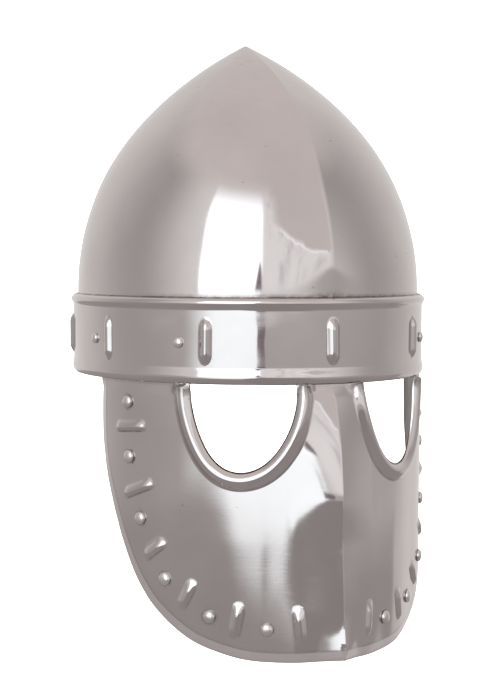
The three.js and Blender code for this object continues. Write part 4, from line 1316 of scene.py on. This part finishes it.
def make_buckle_frame():
    bar, out, along = buckle_axes()
    high, far, corner = BUCKLE_HALF_HEIGHT - 0.4, BUCKLE_LENGTH, 2.0
    big = BUCKLE_CORNER
    path = []
    corners = (
        (0, high, corner, 180), (far, high, big, 90), (far, -high, big, 0), (0, -high, corner, 270),
    )
    for y, z, r, first in corners:
        cy = y + r if y == 0 else y - r
        cz = z - r if z > 0 else z + r
        for a in np.radians(first - np.arange(0, 91, 9)):
            path.append((cy + r * math.cos(a), cz + r * math.sin(a)))
    path = resample(path, 0.9, True)
    points = bar + np.outer(path[:, 0], along) + np.outer(path[:, 1], UP)
    bulge = 0.55 * np.sin(np.clip(path[:, 0] / far, 0, 1) * math.pi)
    points = points + np.outer(bulge, out)
    radii = BUCKLE_WIRE + 0.12 * smooth(far - 6, far, path[:, 0]) - 0.1 * smooth(3, 0, path[:, 0])
    wire = mesh_object("buckle_frame_brass", *tube(points, radii, 16, True), "buckle")
    wire.data.materials.append(BRASS)
    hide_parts("buckle_frame")


def make_buckle_prong():
    """A ring round the bar that runs out into an arm, whose tip rests on the frame."""
    bar, out, along = buckle_axes()
    turn = np.radians(np.arange(-200, 91, 12))
    line = [(-2.45 * math.sin(a), 2.45 * math.cos(a), 0.5 * math.sin(a / 2)) for a in turn]
    rest = -(BUCKLE_WIRE + PRONG_RADIUS + 0.35)
    line += [(-2.3, 4.0, 0), (-2.5, 9, 0), (-2.75, 15, 0)]
    line += [(rest - 0.1, 20, 0), (rest, 24, 0), (rest + 0.5, 26, 0)]
    line = np.array(line)
    steps = np.linspace(0, len(line) - 1, 90)
    x, y, z = (np.interp(steps, np.arange(len(line)), line[:, k]) for k in range(3))
    points = bar + np.outer(x, out) + np.outer(y, along)
    points = points + np.outer(z, UP)
    radii = rounded_ends(points, PRONG_RADIUS)
    prong = mesh_object("buckle_prong_brass", *tube(points, radii, 12, False), "prong")
    prong.data.materials.append(BRASS)
    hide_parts("buckle_prong")


def make_strap_rivets():
    for side, word in ((-1, "right"), (1, "left")):
        inward = np.array([-side, 0, 0.0])
        middle = wall(STRAP_MIDDLE, side * PIVOT_ANGLE, PIVOT_Z)
        inside = STRAP_THICKNESS / 2 + 0.1
        grip = LINER_OUTER - STRAP_MIDDLE + inside + 0.1
        place_rivet(f"strap_rivet_head_{word}", f"strap_rivet_{word}", middle + inward * inside,
                    inward, 3.4, 2.3, grip, 0.6, 5 * side)
        spot = wall((LINER_INNER + STRAP_MIDDLE + STRAP_THICKNESS / 2) / 2, side * PIVOT_ANGLE, PIVOT_Z)
        ring = ((2.3, -0.45), (4.7, -0.45), (5.0, -0.25), (5.0, 0.25), (4.7, 0.45), (2.3, 0.45))
        verts = aimed(spun(ring, 32), inward, spot)
        faces = ring_faces(len(ring), 32, True, turned=True)
        verts, faces = facing_out(verts, faces)
        washer = mesh_object(f"strap_washer_steel_{word}", verts, faces)
        washer.data.set_sharp_from_angle(angle=math.radians(40))
        washer.data.materials.append(RIVET)
        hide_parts(f"strap_washer_{word}")


# ---------------------------------------------------------------- stage, light, camera

CAMERA_AZIMUTH = -23.25
CAMERA_SPOT = (-0.34783, -0.8096, 0.06641)
CAMERA_TARGET = (0, 0, 0.0119)
FLOOR_Z = -0.42
FLOOR_RADIUS = 2.4
BOWL_FILLET = 1.2
BOWL_HEIGHT = 4.2


def make_stage():
    """A round white studio: a floor that curves up into a wall on every side."""
    profile = [(FLOOR_RADIUS * share, 0.0) for share in (0.0, 0.35, 0.7)]
    for k in range(13):
        turn = math.radians(90 * k / 12)
        out = FLOOR_RADIUS + BOWL_FILLET * math.sin(turn)
        profile.append((out, BOWL_FILLET * (1 - math.cos(turn))))
    profile.append((FLOOR_RADIUS + BOWL_FILLET, BOWL_HEIGHT))
    sides = 96
    rings = [(radius, height + FLOOR_Z) for radius, height in profile[1:]]
    verts = [(0.0, 0.0, FLOOR_Z)] + spun(rings, sides)
    faces = [(0, 1 + k, 1 + (k + 1) % sides) for k in range(sides)]
    faces += ring_faces(len(rings), sides, first=1)
    mesh = bpy.data.meshes.new("studio_bowl")
    mesh.from_pydata(verts, [], faces)
    mesh.shade_smooth()
    bowl = bpy.data.objects.new("studio_bowl", mesh)
    bpy.context.scene.collection.objects.link(bowl)
    material, tree, shader = new_material("studio_white", 0.0, 0.9)
    paper = noise_node(tree, mapped(tree), 3.0, 2.0)
    tree.links.new(ramp(tree, paper, [(0.3, (0.9, 0.9, 0.9)), (0.7, (0.93, 0.93, 0.93))]),
                   shader.inputs["Base Color"])
    shader.inputs["Emission Color"].default_value = (1, 1, 1, 1)
    shader.inputs["Emission Strength"].default_value = 0.75
    mesh.materials.append(material)
    # The steel mirrors the light tent, which is the world, rather than this backdrop.
    bowl.visible_glossy = False
    bowl.visible_shadow = False


# Greys of the light tent: dim at the sides, lighter behind and in front, lightest high in front.
TENT_SIDE = (0.49, 0.475, 0.465)
TENT_BEHIND = (0.8, 0.78, 0.76)
TENT_FRONT_LOW = (0.6, 0.58, 0.57)
TENT_FRONT_HIGH = (1.1, 1.1, 1.1)


def make_light():
    """A grey light tent round the helmet, with one big soft box beside the camera."""
    world = bpy.data.worlds.new("light_tent")
    world.use_nodes = True
    tree = world.node_tree
    spot = tree.nodes.new("ShaderNodeTexCoord")
    turn = add_node(tree, "ShaderNodeVectorRotate", rotation_type="Z_AXIS")
    turn.inputs["Angle"].default_value = math.radians(-CAMERA_AZIMUTH)
    tree.links.new(spot.outputs["Generated"], turn.inputs["Vector"])
    part = tree.nodes.new("ShaderNodeSeparateXYZ")
    tree.links.new(turn.outputs["Vector"], part.inputs["Vector"])
    x, y, z = part.outputs
    way = maths(tree, "ARCTAN2", x, times(tree, y, -1.0))
    degrees = times(tree, way, 180 / math.pi)

    def both(first, second):
        return times(tree, first, second)

    def over(factor, colour, limit=None):
        if limit is not None:
            factor = both(factor, limit)
        return mix_colour(tree, factor, shade, colour)

    raised = smooth_step(tree, z, -0.045, 0.02)
    facing = maths(tree, "COSINE", way, 0.0)
    shade = mix_colour(tree, smooth_step(tree, facing, 0.0, -1.0), TENT_SIDE, TENT_BEHIND)
    front = mix_colour(tree, raised, TENT_FRONT_LOW, TENT_FRONT_HIGH)
    shade = mix_colour(tree, smooth_step(tree, facing, 0.0, 1.0), shade, front)
    # Folds in the cloth to the right of the soft box, and plain grey above them.
    fold = noise_node(tree, stretched(tree, turn.outputs["Vector"], (9, 9, 1.5)), 1.0, 3.0, 0.6)
    folded = both(both(smooth_step(tree, degrees, -4, 3), smooth_step(tree, degrees, 40, 30)),
                  smooth_step(tree, z, -0.02, 0.08))
    dark_fold = remap(tree, fold, 0.5, 0.64, 0.0, 0.6)
    shade = over(both(folded, dark_fold), (0.66, 0.65, 0.7))
    top = maths(tree, "ADD", remap(tree, degrees, 0, 36, 0.57, 0.23),
                remap(tree, fold, 0.3, 0.7, -0.04, 0.04))
    above = maths(tree, "SUBTRACT", z, top)
    shade = over(both(smooth_step(tree, above, -0.01, 0.04), smooth_step(tree, degrees, 0, 10)),
                 (0.79, 0.75, 0.73), smooth_step(tree, degrees, 60, 42))
    drape = maths(tree, "ABSOLUTE", maths(tree, "ADD", above, 0.02), 0.0)
    shade = over(both(smooth_step(tree, drape, 0.02, 0.004), smooth_step(tree, degrees, 2, 14)),
                 (1.3, 1.33, 1.37), smooth_step(tree, degrees, 40, 30))
    shade = over(smooth_step(tree, z, 0.66, 0.85), (0.79, 0.74, 0.71))
    shade = over(smooth_step(tree, z, -0.13, -0.225), (0.42, 0.395, 0.385),
                 smooth_step(tree, degrees, 122, 118))
    shade = over(smooth_step(tree, z, -0.3, -0.5), (0.38, 0.355, 0.35))
    # The soft box; its left edge is softer and further right low down.
    lag = times(tree, smooth_step(tree, z, -0.14, -0.25), 24.0)
    from_left = maths(tree, "SUBTRACT", degrees, lag)
    crisp = both(smooth_step(tree, degrees, -46.5, -44), smooth_step(tree, z, -0.03, 0.03))
    left = both(smooth_step(tree, from_left, -56, -32), smooth_step(tree, z, 0.03, -0.03))
    left = maths(tree, "ADD", left, crisp)
    edge = maths(tree, "ADD", remap(tree, z, -0.22, -0.13, -15.5, -8.5),
                 remap(tree, z, -0.13, -0.09, 0.0, 4.5))
    right = smooth_step(tree, maths(tree, "SUBTRACT", degrees, edge), 1.5, -1.5)
    height = both(smooth_step(tree, z, -0.285, -0.165), smooth_step(tree, z, 0.78, 0.56))
    lit = mix_colour(tree, smooth_step(tree, z, -0.03, 0.08), (1.5, 1.62, 1.66), (2.2, 2.35, 2.45))
    lit = mix_colour(tree, smooth_step(tree, z, -0.12, -0.2), lit, (1.36, 1.45, 1.47))
    shade = over(both(both(left, right), height), lit)
    # The dark gap between soft box and cloth, a thin wedge higher up.
    centre = remap(tree, z, -0.02, 0.02, 3.0, 5.2)
    away = maths(tree, "ABSOLUTE", maths(tree, "ADD", degrees, centre), 0.0)
    width = remap(tree, z, -0.02, 0.27, 3.4, 0.0)
    wedge = smooth_step(tree, maths(tree, "SUBTRACT", away, width), 0.0, -1.0)
    gap = maths(tree, "ADD", smooth_step(tree, z, 0.01, 0.03), smooth_step(tree, z, -0.018, -0.032))
    shade = over(both(wedge, gap), (0.27, 0.22, 0.24), smooth_step(tree, z, -0.1, -0.06))
    # A dark floor, low down and to the right of the soft box.
    past = maths(tree, "SUBTRACT", degrees, edge)
    floor = both(smooth_step(tree, past, -1.5, 1.5), smooth_step(tree, degrees, 40, 25))
    shade = over(both(floor, smooth_step(tree, z, -0.085, -0.105)), (0.36, 0.335, 0.33))
    back = tree.nodes["Background"]
    tree.links.new(shade, back.inputs["Color"])
    bpy.context.scene.world = world


def make_camera():
    data = bpy.data.cameras.new("camera")
    data.lens = 73.08
    data.sensor_width = 36.0
    data.shift_x = 0.0067
    data.clip_start, data.clip_end = 0.05, 30.0
    camera = bpy.data.objects.new("camera", data)
    spot = Vector(CAMERA_SPOT)
    camera.location = spot
    camera.rotation_mode = "QUATERNION"
    camera.rotation_quaternion = (Vector(CAMERA_TARGET) - spot).to_track_quat("-Z", "Y")
    bpy.context.scene.collection.objects.link(camera)
    bpy.context.scene.camera = camera


# ---------------------------------------------------------------- build

make_camera()
make_stage()
make_light()
make_skull()
make_band()
make_plate()
make_rivets()
make_headband()
for leaf_number in range(LEAF_COUNT):
    make_leaf(leaf_number)
make_lace()
make_long_strap()
make_short_strap()
make_keeper()
make_buckle_frame()
make_buckle_prong()
make_strap_rivets()

bpy.context.scene.view_settings.view_transform = "Standard"
